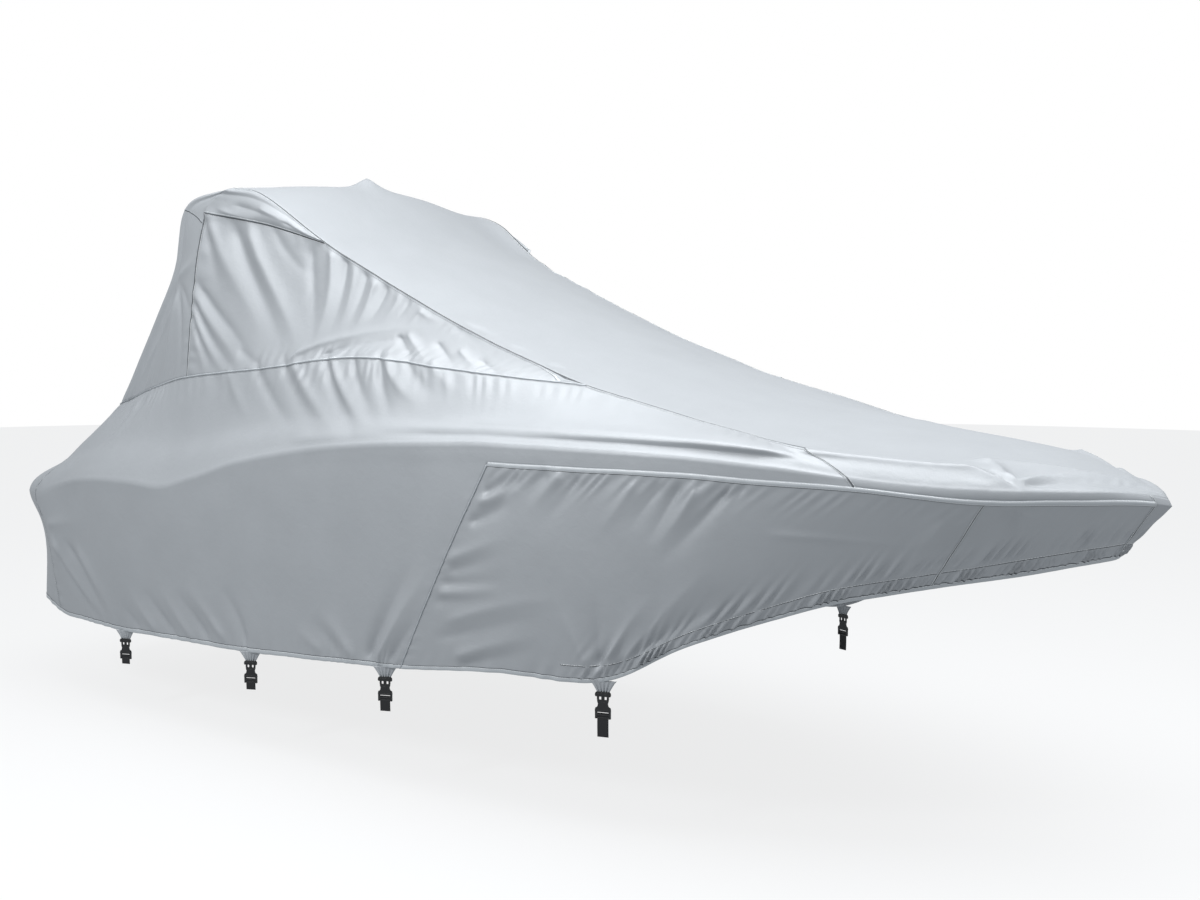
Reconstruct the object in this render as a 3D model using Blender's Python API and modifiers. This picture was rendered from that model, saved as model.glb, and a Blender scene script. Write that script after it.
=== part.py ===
"""A fitted, hollow cover for a sport boat with a tower: its sewn panels, strap tabs, buckles and webbing.

+X runs to the bow, -Y is the starboard side and +Z is up. The tables are written from a drawing datum: x runs
forward from the transom line, out is the distance from the middle plane, and up is the height above the hem
at the stern. ORIGIN moves that datum under the highest point of the cloth, which is what holds the cover up.
"""

import math

import bmesh
import bpy
import numpy as np
from mathutils import Matrix, Vector

ORIGIN = (1.80, 0.0, 2.66)  # the held-up point, measured from the drawing datum
CLOTH = 0.0014  # coated polyester with its turned seam allowance
SEAM_INSET = 0.0015  # each panel stops this far short of the seam line
INSIDE = (2.6, 0.0, 0.6)  # a point inside the cover, by which a panel's outer face is told

# Table of offsets for the skirt. rail is the edge of the gunwale, seam the stitching under it, hem the bottom.
# cells is how many cells of cloth each panel has from this station to the next.
# station       cells  rail: x, out, up       seam: x, out, up        hem: x, out, up
SKIRT = (
    ("stern_middle", 2, (-0.270, 0.000, 0.790), (-0.200, 0.000, 0.560), (-0.215, 0.000, 0.060)),
    ("stern_side",   2, (-0.270, 0.560, 0.785), (-0.200, 0.560, 0.555), (-0.215, 0.560, 0.055)),
    ("stern_round",  2, (-0.265, 1.050, 0.740), (-0.165, 1.025, 0.545), (-0.205, 0.995, 0.045)),
    ("corner_seam",  3, (-0.055, 1.135, 0.735), (0.032, 1.136, 0.560), (0.120, 1.088, -0.004)),
    ("quarter",      3, (0.321, 1.190, 0.821), (0.360, 1.190, 0.720), (0.500, 1.135, -0.012)),
    ("strap_1",      3, (0.767, 1.250, 0.881), (0.785, 1.248, 0.800), (0.909, 1.170, -0.012)),
    ("flank",        2, (1.160, 1.257, 0.886), (1.180, 1.254, 0.815), (1.270, 1.188, 0.004)),
    ("tower_seam",   3, (1.446, 1.260, 0.880), (1.455, 1.258, 0.810), (1.590, 1.200, 0.015)),
    ("tower_mid",    3, (1.740, 1.260, 0.948), (1.745, 1.258, 0.880), (1.905, 1.202, 0.024)),
    ("strap_2",      4, (2.078, 1.260, 1.043), (2.080, 1.258, 0.975), (2.150, 1.202, 0.034)),
    ("side_1",       4, (2.489, 1.260, 1.109), (2.480, 1.258, 1.045), (2.500, 1.202, 0.056)),
    ("side_2",       4, (3.011, 1.260, 1.161), (2.995, 1.258, 1.100), (2.830, 1.202, 0.080)),
    ("strap_3",      3, (3.508, 1.256, 1.185), (3.480, 1.256, 1.124), (3.110, 1.202, 0.098)),
    ("skirt_seam",   3, (3.965, 1.243, 1.205), (3.919, 1.248, 1.144), (3.293, 1.200, 0.113)),
    ("tower_tip",    3, (4.450, 1.215, 1.202), (4.420, 1.220, 1.144), (3.900, 1.172, 0.178)),
    ("strap_4",      3, (4.900, 1.160, 1.196), (4.880, 1.165, 1.146), (4.461, 1.100, 0.209)),
    ("shoulder",     2, (5.290, 1.072, 1.173), (5.290, 1.072, 1.130), (4.860, 1.015, 0.405)),
    ("bow_seam",     4, (5.570, 0.970, 1.149), (5.600, 0.965, 1.118), (5.270, 0.868, 0.568)),
    ("dart",         3, (6.005, 0.685, 1.112), (6.013, 0.680, 1.067), (5.754, 0.605, 0.690)),
    ("bow_side",     2, (6.262, 0.390, 1.098), (6.260, 0.388, 1.058), (6.075, 0.370, 0.752)),
    ("nose_seam",    2, (6.463, 0.082, 1.078), (6.482, 0.078, 1.043), (6.306, 0.030, 0.792)),
    ("stem",         0, (6.505, 0.000, 1.060), (6.521, 0.000, 1.030), (6.312, 0.000, 0.795)),
)

# The same stations above the rail: the middle of the slope down to the rail.
# station          side: x, out, up
SLOPE = (
    ("stern_middle", (-0.010, 0.000, 0.980)),
    ("stern_side",   (-0.010, 0.480, 0.980)),
    ("stern_round",  (0.030, 0.880, 0.975)),
    ("corner_seam",  (0.170, 1.010, 0.985)),
    ("quarter",      (0.500, 1.062, 1.060)),
    ("strap_1",      (0.860, 1.098, 1.125)),
    ("flank",        (1.180, 1.115, 1.150)),
    ("tower_seam",   (1.440, 1.128, 1.160)),
    ("tower_mid",    (1.790, 1.138, 1.205)),
    ("strap_2",      (2.150, 1.148, 1.262)),
    ("side_1",       (2.540, 1.152, 1.315)),
    ("side_2",       (3.000, 1.146, 1.340)),
    ("strap_3",      (3.470, 1.132, 1.330)),
    ("skirt_seam",   (3.880, 1.122, 1.322)),
    ("tower_tip",    (4.330, 1.115, 1.320)),
    ("strap_4",      (4.800, 1.075, 1.308)),
    ("shoulder",     (5.170, 1.020, 1.285)),
    ("bow_seam",     (5.495, 0.968, 1.206)),
    ("dart",         (5.950, 0.690, 1.158)),
    ("bow_side",     (6.225, 0.388, 1.126)),
    ("nose_seam",    (6.440, 0.080, 1.091)),
    ("stem",         (6.484, 0.000, 1.078)),
)

# The seam round the tower's foot, where the slope starts as far forward as the tower's tip.
# station          foot: x, out, up
FOOT = (
    ("stern_middle", (0.400, 0.000, 1.270)),
    ("stern_side",   (0.400, 0.380, 1.270)),
    ("stern_round",  (0.430, 0.680, 1.280)),
    ("corner_seam",  (0.545, 0.890, 1.299)),
    ("quarter",      (0.740, 0.935, 1.352)),
    ("strap_1",      (0.950, 0.965, 1.409)),
    ("flank",        (1.200, 1.005, 1.458)),
    ("tower_seam",   (1.434, 1.050, 1.492)),
    ("tower_mid",    (1.840, 1.065, 1.526)),
    ("strap_2",      (2.235, 1.070, 1.558)),
    ("side_1",       (2.595, 1.070, 1.599)),
    ("side_2",       (2.990, 1.045, 1.611)),
    ("strap_3",      (3.380, 1.000, 1.568)),
    ("skirt_seam",   (3.760, 0.945, 1.531)),
    ("tower_tip",    (4.181, 0.866, 1.494)),
)

# Aft of the tower: brow is the seam over the tower's top and down to its corner, lip the edge that it bends over.
# station          brow: x, out, up       lip: x, out, up
TOWER_AFT = (
    ("stern_middle", (1.660, 0.000, 2.595), (1.170, 0.000, 2.540)),
    ("stern_side",   (1.669, 0.430, 2.588), (1.172, 0.400, 2.534)),
    ("stern_round",  (1.684, 0.700, 2.568), (1.185, 0.710, 2.512)),
    ("corner_seam",  (1.700, 0.900, 2.545), (1.245, 0.885, 2.462)),
    ("quarter",      (1.630, 0.942, 2.514), (1.330, 0.932, 2.432)),
    ("strap_1",      (1.570, 0.955, 2.482), (1.400, 0.952, 2.410)),
    ("flank",        (1.530, 0.963, 2.448), (1.455, 0.962, 2.384)),
    ("tower_seam",   (1.512, 0.970, 2.416), (1.503, 0.974, 2.355)),
)
CHEST_SHARE = 0.28  # two more rows between the lip and the foot, as shares of the way down
BELLY_SHARE = 0.60
CHEST_IN = 0.088  # how far the tower's frame holds them forward of a straight line
BELLY_IN = 0.062
SEAM_OUT = 0.020  # and aft of it at the corner seam

# The top panel: edge is its long side seam and, forward of bow_seam, the crest of the fore deck. crown is the
# cloth's middle line.
# station          edge: x, out, up       crown: x, up
TOP = (
    ("tower_seam",   (1.700, 0.900, 2.545), (1.660, 2.595)),
    ("tower_mid",    (1.930, 0.895, 2.493), (1.900, 2.582)),
    ("strap_2",      (2.373, 0.833, 2.218), (2.370, 2.290)),
    ("side_1",       (2.780, 0.840, 2.030), (2.780, 2.105)),
    ("side_2",       (3.170, 0.848, 1.856), (3.170, 1.935)),
    ("strap_3",      (3.550, 0.854, 1.702), (3.550, 1.785)),
    ("skirt_seam",   (3.888, 0.860, 1.588), (3.888, 1.665)),
    ("tower_tip",    (4.181, 0.866, 1.494), (4.181, 1.573)),
    ("strap_4",      (4.748, 0.882, 1.370), (4.720, 1.430)),
    ("shoulder",     (5.098, 0.892, 1.302), (5.080, 1.360)),
    ("bow_seam",     (5.372, 0.944, 1.262), (5.380, 1.316)),
    ("dart",         (5.895, 0.680, 1.203), (5.850, 1.248)),
    ("bow_side",     (6.180, 0.375, 1.150), (6.150, 1.192)),
    ("nose_seam",    (6.410, 0.075, 1.100), (6.390, 1.116)),
    ("stem",         (6.455, 0.000, 1.092), (6.455, 1.092)),
)

# The cheek under the top panel's edge at the tower: its lower seam.
# station          eave: x, out, up
EAVE = (
    ("tower_seam",   (1.512, 0.970, 2.416)),
    ("tower_mid",    (1.960, 0.912, 2.333)),
    ("strap_2",      (2.373, 0.833, 2.218)),
)
LIP_SHARE = 0.065  # the lip's share of the corner seam's height
TOWER_CORNER = 0.6  # the tower's side takes up the shape of its corner over this length
STITCH_FADE = 0.5  # over this length aft of the skirt seam the bend at the stitching softens
BELLY = 0.016  # outward belly of the forward skirts, for each metre of half breadth
SAG = 0.05  # how far the tower's side sinks in, for each metre of its height

# Folds, drawn on one of three planes: side (x, up), end (out, up) or plan (x, out). Each row runs from one
# point by way of a second to a third. width is the fold's half width at its start and end, and height is how
# far it stands out at its start (negative: sinks in).
# plane    from          by way of     to            width: start, end   height
FOLDS = (
    ("side", (1.50, 2.34), (1.64, 2.12), (1.79, 1.92), (0.045, 0.060), -0.016),
    ("side", (1.59, 2.34), (1.72, 2.13), (2.00, 1.85), (0.045, 0.075), 0.018),
    ("side", (1.84, 2.25), (1.93, 1.99), (2.26, 1.67), (0.045, 0.075), -0.020),
    ("side", (1.93, 2.25), (2.07, 1.98), (2.43, 1.64), (0.045, 0.080), 0.020),
    ("side", (2.43, 2.14), (2.49, 1.91), (2.59, 1.74), (0.045, 0.050), -0.016),
    ("side", (2.54, 2.08), (2.57, 1.93), (2.62, 1.79), (0.045, 0.050), 0.014),
    ("side", (2.76, 2.01), (2.76, 1.91), (2.75, 1.79), (0.045, 0.050), 0.013),
    ("side", (1.50, 1.98), (1.73, 1.80), (2.05, 1.57), (0.045, 0.055), -0.014),
    ("side", (2.51, 1.62), (2.72, 1.72), (3.12, 1.76), (0.045, 0.055), 0.020),
    ("side", (2.66, 1.58), (2.76, 1.42), (3.00, 1.26), (0.045, 0.060), -0.018),
    ("side", (2.42, 1.56), (2.59, 1.40), (2.87, 1.25), (0.045, 0.060), 0.014),
    ("side", (2.10, 1.53), (2.28, 1.37), (2.50, 1.25), (0.045, 0.060), -0.012),
    ("side", (3.01, 1.59), (3.08, 1.47), (3.18, 1.34), (0.045, 0.050), -0.014),
    ("side", (3.07, 1.59), (3.20, 1.49), (3.36, 1.42), (0.045, 0.055), 0.014),
    ("side", (0.94, 1.38), (0.82, 1.22), (0.70, 1.04), (0.045, 0.055), -0.012),
    ("side", (0.78, 1.33), (0.68, 1.17), (0.50, 1.02), (0.045, 0.055), 0.010),
    ("side", (1.15, 1.43), (1.05, 1.24), (0.96, 1.05), (0.045, 0.055), 0.008),
    ("side", (1.21, 2.05), (1.06, 1.76), (0.84, 1.40), (0.045, 0.055), -0.012),
    ("side", (1.25, 2.03), (1.18, 1.76), (1.08, 1.44), (0.045, 0.055), 0.012),
    ("side", (1.25, 2.03), (1.32, 1.75), (1.36, 1.50), (0.045, 0.055), -0.010),
    ("side", (0.15, 0.52), (0.35, 0.27), (0.80, 0.02), (0.045, 0.080), 0.020),
    ("side", (0.20, 0.43), (0.38, 0.21), (0.66, 0.03), (0.045, 0.060), -0.018),
    ("side", (0.42, 0.49), (0.67, 0.25), (0.84, 0.04), (0.050, 0.070), 0.014),
    ("side", (1.32, 0.02), (1.17, 0.13), (1.05, 0.24), (0.045, 0.060), 0.012),
    ("side", (1.52, 0.01), (1.32, 0.16), (1.20, 0.26), (0.045, 0.060), -0.012),
    ("side", (1.99, 0.03), (1.79, 0.21), (1.64, 0.33), (0.045, 0.060), 0.012),
    ("side", (2.13, 0.03), (2.05, 0.23), (1.93, 0.36), (0.045, 0.060), -0.014),
    ("side", (2.99, 0.10), (2.87, 0.22), (2.75, 0.32), (0.045, 0.060), 0.012),
    ("side", (3.06, 0.11), (3.16, 0.29), (3.42, 0.63), (0.045, 0.060), -0.020),
    ("side", (3.15, 0.10), (3.30, 0.30), (3.56, 0.60), (0.045, 0.060), 0.018),
    ("side", (3.79, 0.87), (3.91, 0.92), (4.06, 0.99), (0.045, 0.055), -0.014),
    ("side", (3.59, 0.58), (3.77, 0.60), (4.01, 0.63), (0.045, 0.055), -0.010),
    ("side", (3.57, 0.50), (3.73, 0.52), (3.97, 0.55), (0.045, 0.055), 0.010),
    ("side", (3.66, 0.17), (3.83, 0.23), (4.10, 0.31), (0.045, 0.055), -0.014),
    ("side", (3.63, 0.23), (3.85, 0.31), (4.14, 0.40), (0.045, 0.055), 0.014),
    ("side", (4.90, 1.14), (4.84, 1.01), (4.75, 0.86), (0.045, 0.055), -0.012),
    ("side", (4.98, 1.13), (4.91, 0.99), (4.78, 0.84), (0.045, 0.055), 0.012),
    ("side", (5.13, 1.13), (5.00, 0.98), (4.81, 0.79), (0.045, 0.055), -0.016),
    ("side", (4.44, 0.22), (4.46, 0.36), (4.48, 0.50), (0.045, 0.055), -0.012),
    ("side", (4.48, 0.22), (4.58, 0.42), (4.76, 0.64), (0.045, 0.060), 0.016),
    ("side", (4.51, 0.24), (4.63, 0.40), (4.83, 0.60), (0.045, 0.060), -0.016),
    ("side", (4.54, 0.27), (4.69, 0.46), (4.96, 0.74), (0.045, 0.070), 0.018),
    ("side", (5.96, 0.98), (5.88, 0.86), (5.80, 0.74), (0.040, 0.060), -0.014),
    ("side", (6.12, 0.77), (6.16, 0.88), (6.20, 0.98), (0.040, 0.060), -0.014),
    ("plan", (6.10, 0.58), (5.84, 0.66), (5.62, 0.70), (0.040, 0.080), -0.014),
    ("plan", (6.10, 0.56), (5.92, 0.50), (5.74, 0.44), (0.040, 0.090), -0.014),
    ("plan", (6.12, 0.52), (6.08, 0.40), (6.02, 0.28), (0.040, 0.080), -0.014),
    ("plan", (5.98, 0.67), (6.07, 0.62), (6.16, 0.55), (0.060, 0.050), 0.012),
    ("plan", (6.05, 0.20), (6.18, 0.15), (6.32, 0.10), (0.090, 0.060), -0.010),
    ("end", (0.20, 2.40), (0.18, 1.95), (0.14, 1.50), (0.060, 0.090), -0.018),
    ("end", (0.48, 2.42), (0.48, 1.95), (0.46, 1.44), (0.060, 0.100), 0.018),
    ("end", (0.72, 2.38), (0.68, 1.95), (0.62, 1.50), (0.050, 0.080), -0.018),
    ("end", (0.34, 1.24), (0.37, 1.08), (0.42, 0.90), (0.050, 0.080), -0.012),
    ("end", (0.66, 1.24), (0.72, 1.08), (0.80, 0.90), (0.050, 0.080), 0.012),
    ("end", (1.00, 0.52), (0.84, 0.30), (0.62, 0.12), (0.040, 0.110), 0.018),
    ("end", (1.00, 0.56), (0.68, 0.50), (0.34, 0.40), (0.040, 0.110), -0.016),
    ("end", (0.00, 0.50), (0.01, 0.30), (0.02, 0.10), (0.080, 0.120), -0.010),
)
FOLD_FADE = 0.75  # a fold's end stands this share less than its start
FOLD_STEPS = 6  # straight runs that a fold's curved line is measured by
# Where the cloth stands higher or lies lower on one side: a smooth rise about a point of the plan.
# sign     about: x, out   reach: x, out   rise
SWELLS = (
    (1.0, (2.20, 0.92), (0.26, 0.15), 0.125),
    (1.0, (1.80, 0.80), (0.40, 0.35), -0.035),
    (1.0, (5.45, 0.95), (0.75, 0.45), -0.062),
)
SWELL_LOW = 0.70  # swells leave the cloth below this height alone
SWELL_HIGH = 1.05  # and act in full above this one
PORT_SHIFT = 0.045  # the port side's folds lie this far forward of the starboard side's
PORT_LOSS = 0.15  # and stand out this share less
MIDDLE = 0.30  # the two sides' folds blend over this width at the middle
END_LIMIT = 1.60  # end folds stay aft of this x
END_FADE = 0.30
PLAN_LOW = 0.95  # plan folds stay above this height
PLAN_FADE = 0.10
POLE_HEIGHT = 0.070  # the mast light's head lifts the cloth into a small peak
POLE_REACH = 0.070
POLE_X = 1.80

# Strap sets. The tab hangs from the hem at this station, and yaw is how far the set is turned to the bow.
# number, hem x, hem out, hem up, yaw in degrees, tail length
STRAPS = (
    (1, 0.945, 1.172, -0.012, 22.0, 0.030),
    (2, 2.150, 1.202, 0.034, 26.0, 0.036),
    (3, 3.190, 1.202, 0.104, 24.0, 0.050),
    (4, 4.461, 1.100, 0.209, 18.0, 0.082),
)
TAB_TOP = 0.128
TAB_FOOT = 0.060
TAB_DROP = 0.042
BUCKLE_WIDTH = 0.074
BUCKLE_THICK = 0.011
PRONG_HEIGHT = 0.036  # the part of the upper half that stands out of the lower one
BODY_HEIGHT = 0.084
WEBBING_WIDTH = 0.052
WEBBING = 0.0022
CLEAR = 0.0004  # between two pieces of one strap set
DROP_CLEAR = 0.003  # between the hem's edge and the tab under it

SILVER_TOP = (0.66, 0.70, 0.74, 1.0)
SILVER_SKIRT = (0.52, 0.56, 0.59, 1.0)
BLACK = (0.010, 0.011, 0.012, 1.0)

STATIONS = [row[0] for row in SKIRT]
CELLS = {row[0]: row[1] for row in SKIRT}


def hermite(start, end, slope_0, slope_1, span, u):
    """A cubic from start to end with the given slopes, read at the share u of its span."""
    return (
        (2 * u**3 - 3 * u**2 + 1) * start
        + (u**3 - 2 * u**2 + u) * span * slope_0
        + (3 * u**2 - 2 * u**3) * end
        + (u**3 - u**2) * span * slope_1
    )


def slopes_along(values, steps):
    """The slopes at a row of points, on the row's own axis 1."""
    chords = np.diff(values, axis=1) / steps
    slopes = np.empty_like(values)
    slopes[:, 0] = chords[:, 0]
    slopes[:, -1] = chords[:, -1]
    before = steps[:, :-1]
    after = steps[:, 1:]
    slopes[:, 1:-1] = (chords[:, :-1] * after + chords[:, 1:] * before) / (before + after)
    return slopes


def through_rows(rows, down):
    """A smooth curve through each point's own row of points. down counts the rows passed."""
    steps = np.linalg.norm(np.diff(rows, axis=1), axis=2, keepdims=True) + 1e-6
    slopes = slopes_along(rows, steps)
    first = np.clip(down.astype(int), 0, rows.shape[1] - 2)
    own = np.arange(len(rows))
    share = (down - first)[:, None]
    return hermite(rows[own, first], rows[own, first + 1], slopes[own, first], slopes[own, first + 1],
                   steps[own, first], share)


def column(table, place):
    return np.array([row[place] for row in table], float)


RAIL = column(SKIRT, 2)
GIRTH = np.concatenate([[0.0], np.cumsum(np.linalg.norm(np.diff(RAIL, axis=0), axis=1))])
MARK = dict(zip(STATIONS, GIRTH))


class Line:
    """One seam or form line of the cover, read at any distance round the gunwale."""

    def __init__(self, table, place):
        self.knots = np.array([MARK[row[0]] for row in table])
        self.points = column(table, place)
        self.slopes = slopes_along(self.points[None], np.diff(self.knots)[None, :, None])[0]

    def __call__(self, at):
        at = np.clip(at, self.knots[0], self.knots[-1])
        first = np.clip(np.searchsorted(self.knots, at, side="right") - 1, 0, len(self.knots) - 2)
        span = (self.knots[first + 1] - self.knots[first])[:, None]
        share = (at - self.knots[first])[:, None] / span
        return hermite(self.points[first], self.points[first + 1], self.slopes[first], self.slopes[first + 1],
                       span, share)


rail_line = Line(SKIRT, 2)
seam_line = Line(SKIRT, 3)
hem_line = Line(SKIRT, 4)
foot_line = Line(FOOT, 1)
side_line = Line(SLOPE, 1)
brow_line = Line(TOWER_AFT, 1)
lip_line = Line(TOWER_AFT, 2)
edge_line = Line(TOP, 1)
crown_line = Line(TOP, 2)
eave_line = Line(EAVE, 1)


def smooth(share):
    share = np.clip(share, 0.0, 1.0)
    return share * share * (3.0 - 2.0 * share)


def skirt_surface(along, down):
    """The cloth from the tower's foot to the hem. down runs 0 foot, 1 side, 2 rail, 3 seam, 4 hem.

    Forward of the skirt seam the cloth bends at the stitching and hangs almost straight below it.
    """
    start = np.where((along < MARK["tower_tip"])[:, None], foot_line(along), edge_line(along))
    rows = [start] + [line(along) for line in (side_line, rail_line, seam_line, hem_line)]
    rows = np.stack(rows, axis=1)
    loose = through_rows(rows, down)
    stitched = through_rows(rows[:, :4], np.minimum(down, 3.0))
    fall = np.clip(down - 3.0, 0.0, 1.0)
    stitched += (rows[:, 4] - rows[:, 3]) * fall[:, None]
    stitched[:, 1] += BELLY * rows[:, 3, 1] * np.sin(np.pi * fall)
    share = smooth((along - MARK["skirt_seam"]) / STITCH_FADE + 1.0)[:, None]
    return loose + (stitched - loose) * share


def top_surface(along, across):
    """The top panel from its middle line, across 0, to its side seam, across 1."""
    edge = edge_line(along)
    crown = crown_line(along)
    arch = 1.0 - across**2
    points = np.stack(
        [
            edge[:, 0] + (crown[:, 0] - edge[:, 0]) * arch,
            edge[:, 1] * across,
            edge[:, 2] + (crown[:, 1] - edge[:, 2]) * arch,
        ],
        axis=1,
    )
    reach = np.hypot(points[:, 0] - POLE_X, points[:, 1])
    points[:, 2] += POLE_HEIGHT * np.exp(-reach / POLE_REACH)
    return points


def bow_surface(along, down):
    """The top panel forward of its side seam: down -1 is the middle line, 0 the crest, then as the skirt."""
    inner = top_surface(along, np.clip(down + 1.0, 0.0, 1.0))
    outer = skirt_surface(along, np.clip(down, 0.0, 4.0))
    return np.where((down <= 0.0)[:, None], inner, outer)


def aft_surface(along, down):
    """The tower's back. down runs 0 brow, 1 lip, 2 chest, 3 belly, 4 foot."""
    over_top = top_surface(np.full(len(along), MARK["tower_seam"]), np.clip(along / MARK["corner_seam"], 0.0, 1.0))
    brow = np.where((along <= MARK["corner_seam"])[:, None], over_top, brow_line(along))
    lip = lip_line(along)
    foot = foot_line(along)
    middle = smooth((MARK["tower_seam"] - along) / (MARK["tower_seam"] - MARK["corner_seam"]))
    rows = [brow, lip]
    for share, forward in ((CHEST_SHARE, CHEST_IN), (BELLY_SHARE, BELLY_IN)):
        row = lip + (foot - lip) * share
        row[:, 0] += forward * middle - SEAM_OUT * (1.0 - middle)
        rows.append(row)
    rows.append(foot)
    return through_rows(np.stack(rows, axis=1), down)


def cheek_surface(along, down):
    """The cheek at the tower's top, from the top panel's edge, down 0, to the eave, 1."""
    edge = edge_line(along)
    eave = eave_line(along)
    plain = edge + (eave - edge) * down[:, None]
    start = np.full(len(along), MARK["tower_seam"])
    straight = edge_line(start) + (eave_line(start) - edge_line(start)) * down[:, None]
    girth = MARK["corner_seam"] + down * (MARK["tower_seam"] - MARK["corner_seam"])
    fade = 1.0 - (along - start) / (MARK["strap_2"] - MARK["tower_seam"])
    return plain + (brow_line(girth) - straight) * (fade**2)[:, None]


def tower_surface(along, down):
    """The tower's side, from the eave and the top panel's edge, down 0, to the foot, 4."""
    share = np.interp(down, (0.0, 1.0, 2.0, 3.0, 4.0), (0.0, LIP_SHARE, CHEST_SHARE, BELLY_SHARE, 1.0))
    share = share[:, None]
    upper = np.where((along < MARK["strap_2"])[:, None], eave_line(along), edge_line(along))
    foot = foot_line(along)
    points = upper + (foot - upper) * share
    sink = SAG * np.linalg.norm(foot - upper, axis=1) * np.sin(np.pi * share[:, 0])
    start = np.full(len(along), MARK["tower_seam"])
    corner = eave_line(start) + (foot_line(start) - eave_line(start)) * share
    near = smooth(1.0 - (along - start) / TOWER_CORNER)
    points[:, 1] -= sink * (1.0 - near)
    return points + (aft_surface(start, down) - corner) * near[:, None]


def mirrored(surface):
    """The surface for both sides: a negative distance along is the same place to starboard."""

    def both(along, down):
        points = surface(np.abs(along), down)
        points[:, 1] *= np.where(along < 0.0, -1.0, 1.0)
        return points

    return both


def nearest_on(across, up, stops):
    """Each point's distance from the curve through three stops, and its share of the way along."""
    start, way, end = (np.array(stop) for stop in stops)
    share = np.linspace(0.0, 1.0, FOLD_STEPS + 1)[:, None]
    bend = 2.0 * way - (start + end) / 2.0
    line = start * (1 - share) ** 2 + bend * 2 * share * (1 - share) + end * share**2
    best = np.full(len(across), np.inf)
    place = np.zeros(len(across))
    for step, (first, last) in enumerate(zip(line, line[1:])):
        run = last - first
        along = (across - first[0]) * run[0] + (up - first[1]) * run[1]
        along = np.clip(along / np.dot(run, run), 0.0, 1.0)
        away = np.hypot(across - first[0] - along * run[0], up - first[1] - along * run[1])
        place = np.where(away < best, (step + along) / FOLD_STEPS, place)
        best = np.minimum(best, away)
    return best, place


def fold_moves(points):
    """How far the folds move each point: out to its own side, aft, or up."""
    moves = np.zeros_like(points)
    x, y, up = points.T
    out = np.abs(y)
    port = smooth(y / MIDDLE + 0.5)
    shifted = x - PORT_SHIFT * port
    planes = {
        "side": (shifted, up, 1, np.sign(y) * smooth(out / MIDDLE)),
        "end": (out, up, 0, -smooth((END_LIMIT - x) / END_FADE)),
        "plan": (shifted, out, 2, smooth((up - PLAN_LOW) / PLAN_FADE)),
    }
    for plane, start, way, end, (width_0, width_1), height in FOLDS:
        across, level, axis, share_here = planes[plane]
        away, share = nearest_on(across, level, (start, way, end))
        width = width_0 + (width_1 - width_0) * share
        profile = height * (1.0 - FOLD_FADE * share) * np.exp(-((away / width) ** 2))
        moves[:, axis] += profile * share_here
    return moves * (1.0 - PORT_LOSS * port)[:, None]


def swell(points):
    """How far the cloth is raised at each point by what it lies over on that side only."""
    x, y, up = points.T
    rise = np.zeros(len(points))
    for sign, (mid_x, mid_out), (reach_x, reach_out), height in SWELLS:
        near = ((x - mid_x) / reach_x) ** 2 + ((y * sign - mid_out) / reach_out) ** 2
        rise += height * np.exp(-near)
    return rise * smooth((up - SWELL_LOW) / (SWELL_HIGH - SWELL_LOW))


def folded(points):
    """The same points on the cloth with its folds."""
    laid = points + fold_moves(points)
    laid[:, 2] += swell(points)
    return laid


def new_material(name, colour, roughness):
    material = bpy.data.materials.new(name)
    material.use_nodes = True
    shader = material.node_tree.nodes["Principled BSDF"]
    shader.inputs["Base Color"].default_value = colour
    shader.inputs["Roughness"].default_value = roughness
    shader.inputs["Metallic"].default_value = 0.0
    return material


def add_object(name, mesh, material, collection):
    obj = bpy.data.objects.new(name, mesh)
    obj.data.materials.clear()
    obj.data.materials.append(material)
    collection.objects.link(obj)
    return obj


def spread(stops):
    """Places along a panel: each stop is (place, cells to the next one)."""
    places = []
    for (start, cells), (end, _) in zip(stops, stops[1:]):
        places.extend(np.linspace(start, end, cells + 1)[:-1])
    places.append(stops[-1][0])
    return np.array(places)


def stretch_of(first, last):
    """The places along the gunwale from one station to another, with every panel's own cells."""
    names = STATIONS[STATIONS.index(first) : STATIONS.index(last) + 1]
    return spread([(MARK[name], CELLS[name]) for name in names])


def both_ways(half):
    """The same places to starboard of the middle line and to port of it."""
    return np.concatenate([-half[::-1], half[1:]])


def pull_in_edges(bm, distance):
    """Moves the open edge of a panel inwards, square to both edges of each point, which leaves the seam's gap."""
    inward = {}
    for edge in bm.edges:
        if edge.is_boundary:
            loop = edge.link_loops[0]
            along = loop.link_loop_next.vert.co - loop.vert.co
            for vert in edge.verts:
                inward.setdefault(vert, []).append(loop.face.normal.cross(along).normalized())
    for vert, (first, last) in inward.items():
        vert.co += (first + last) * distance / (1.0 + first.dot(last))


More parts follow.
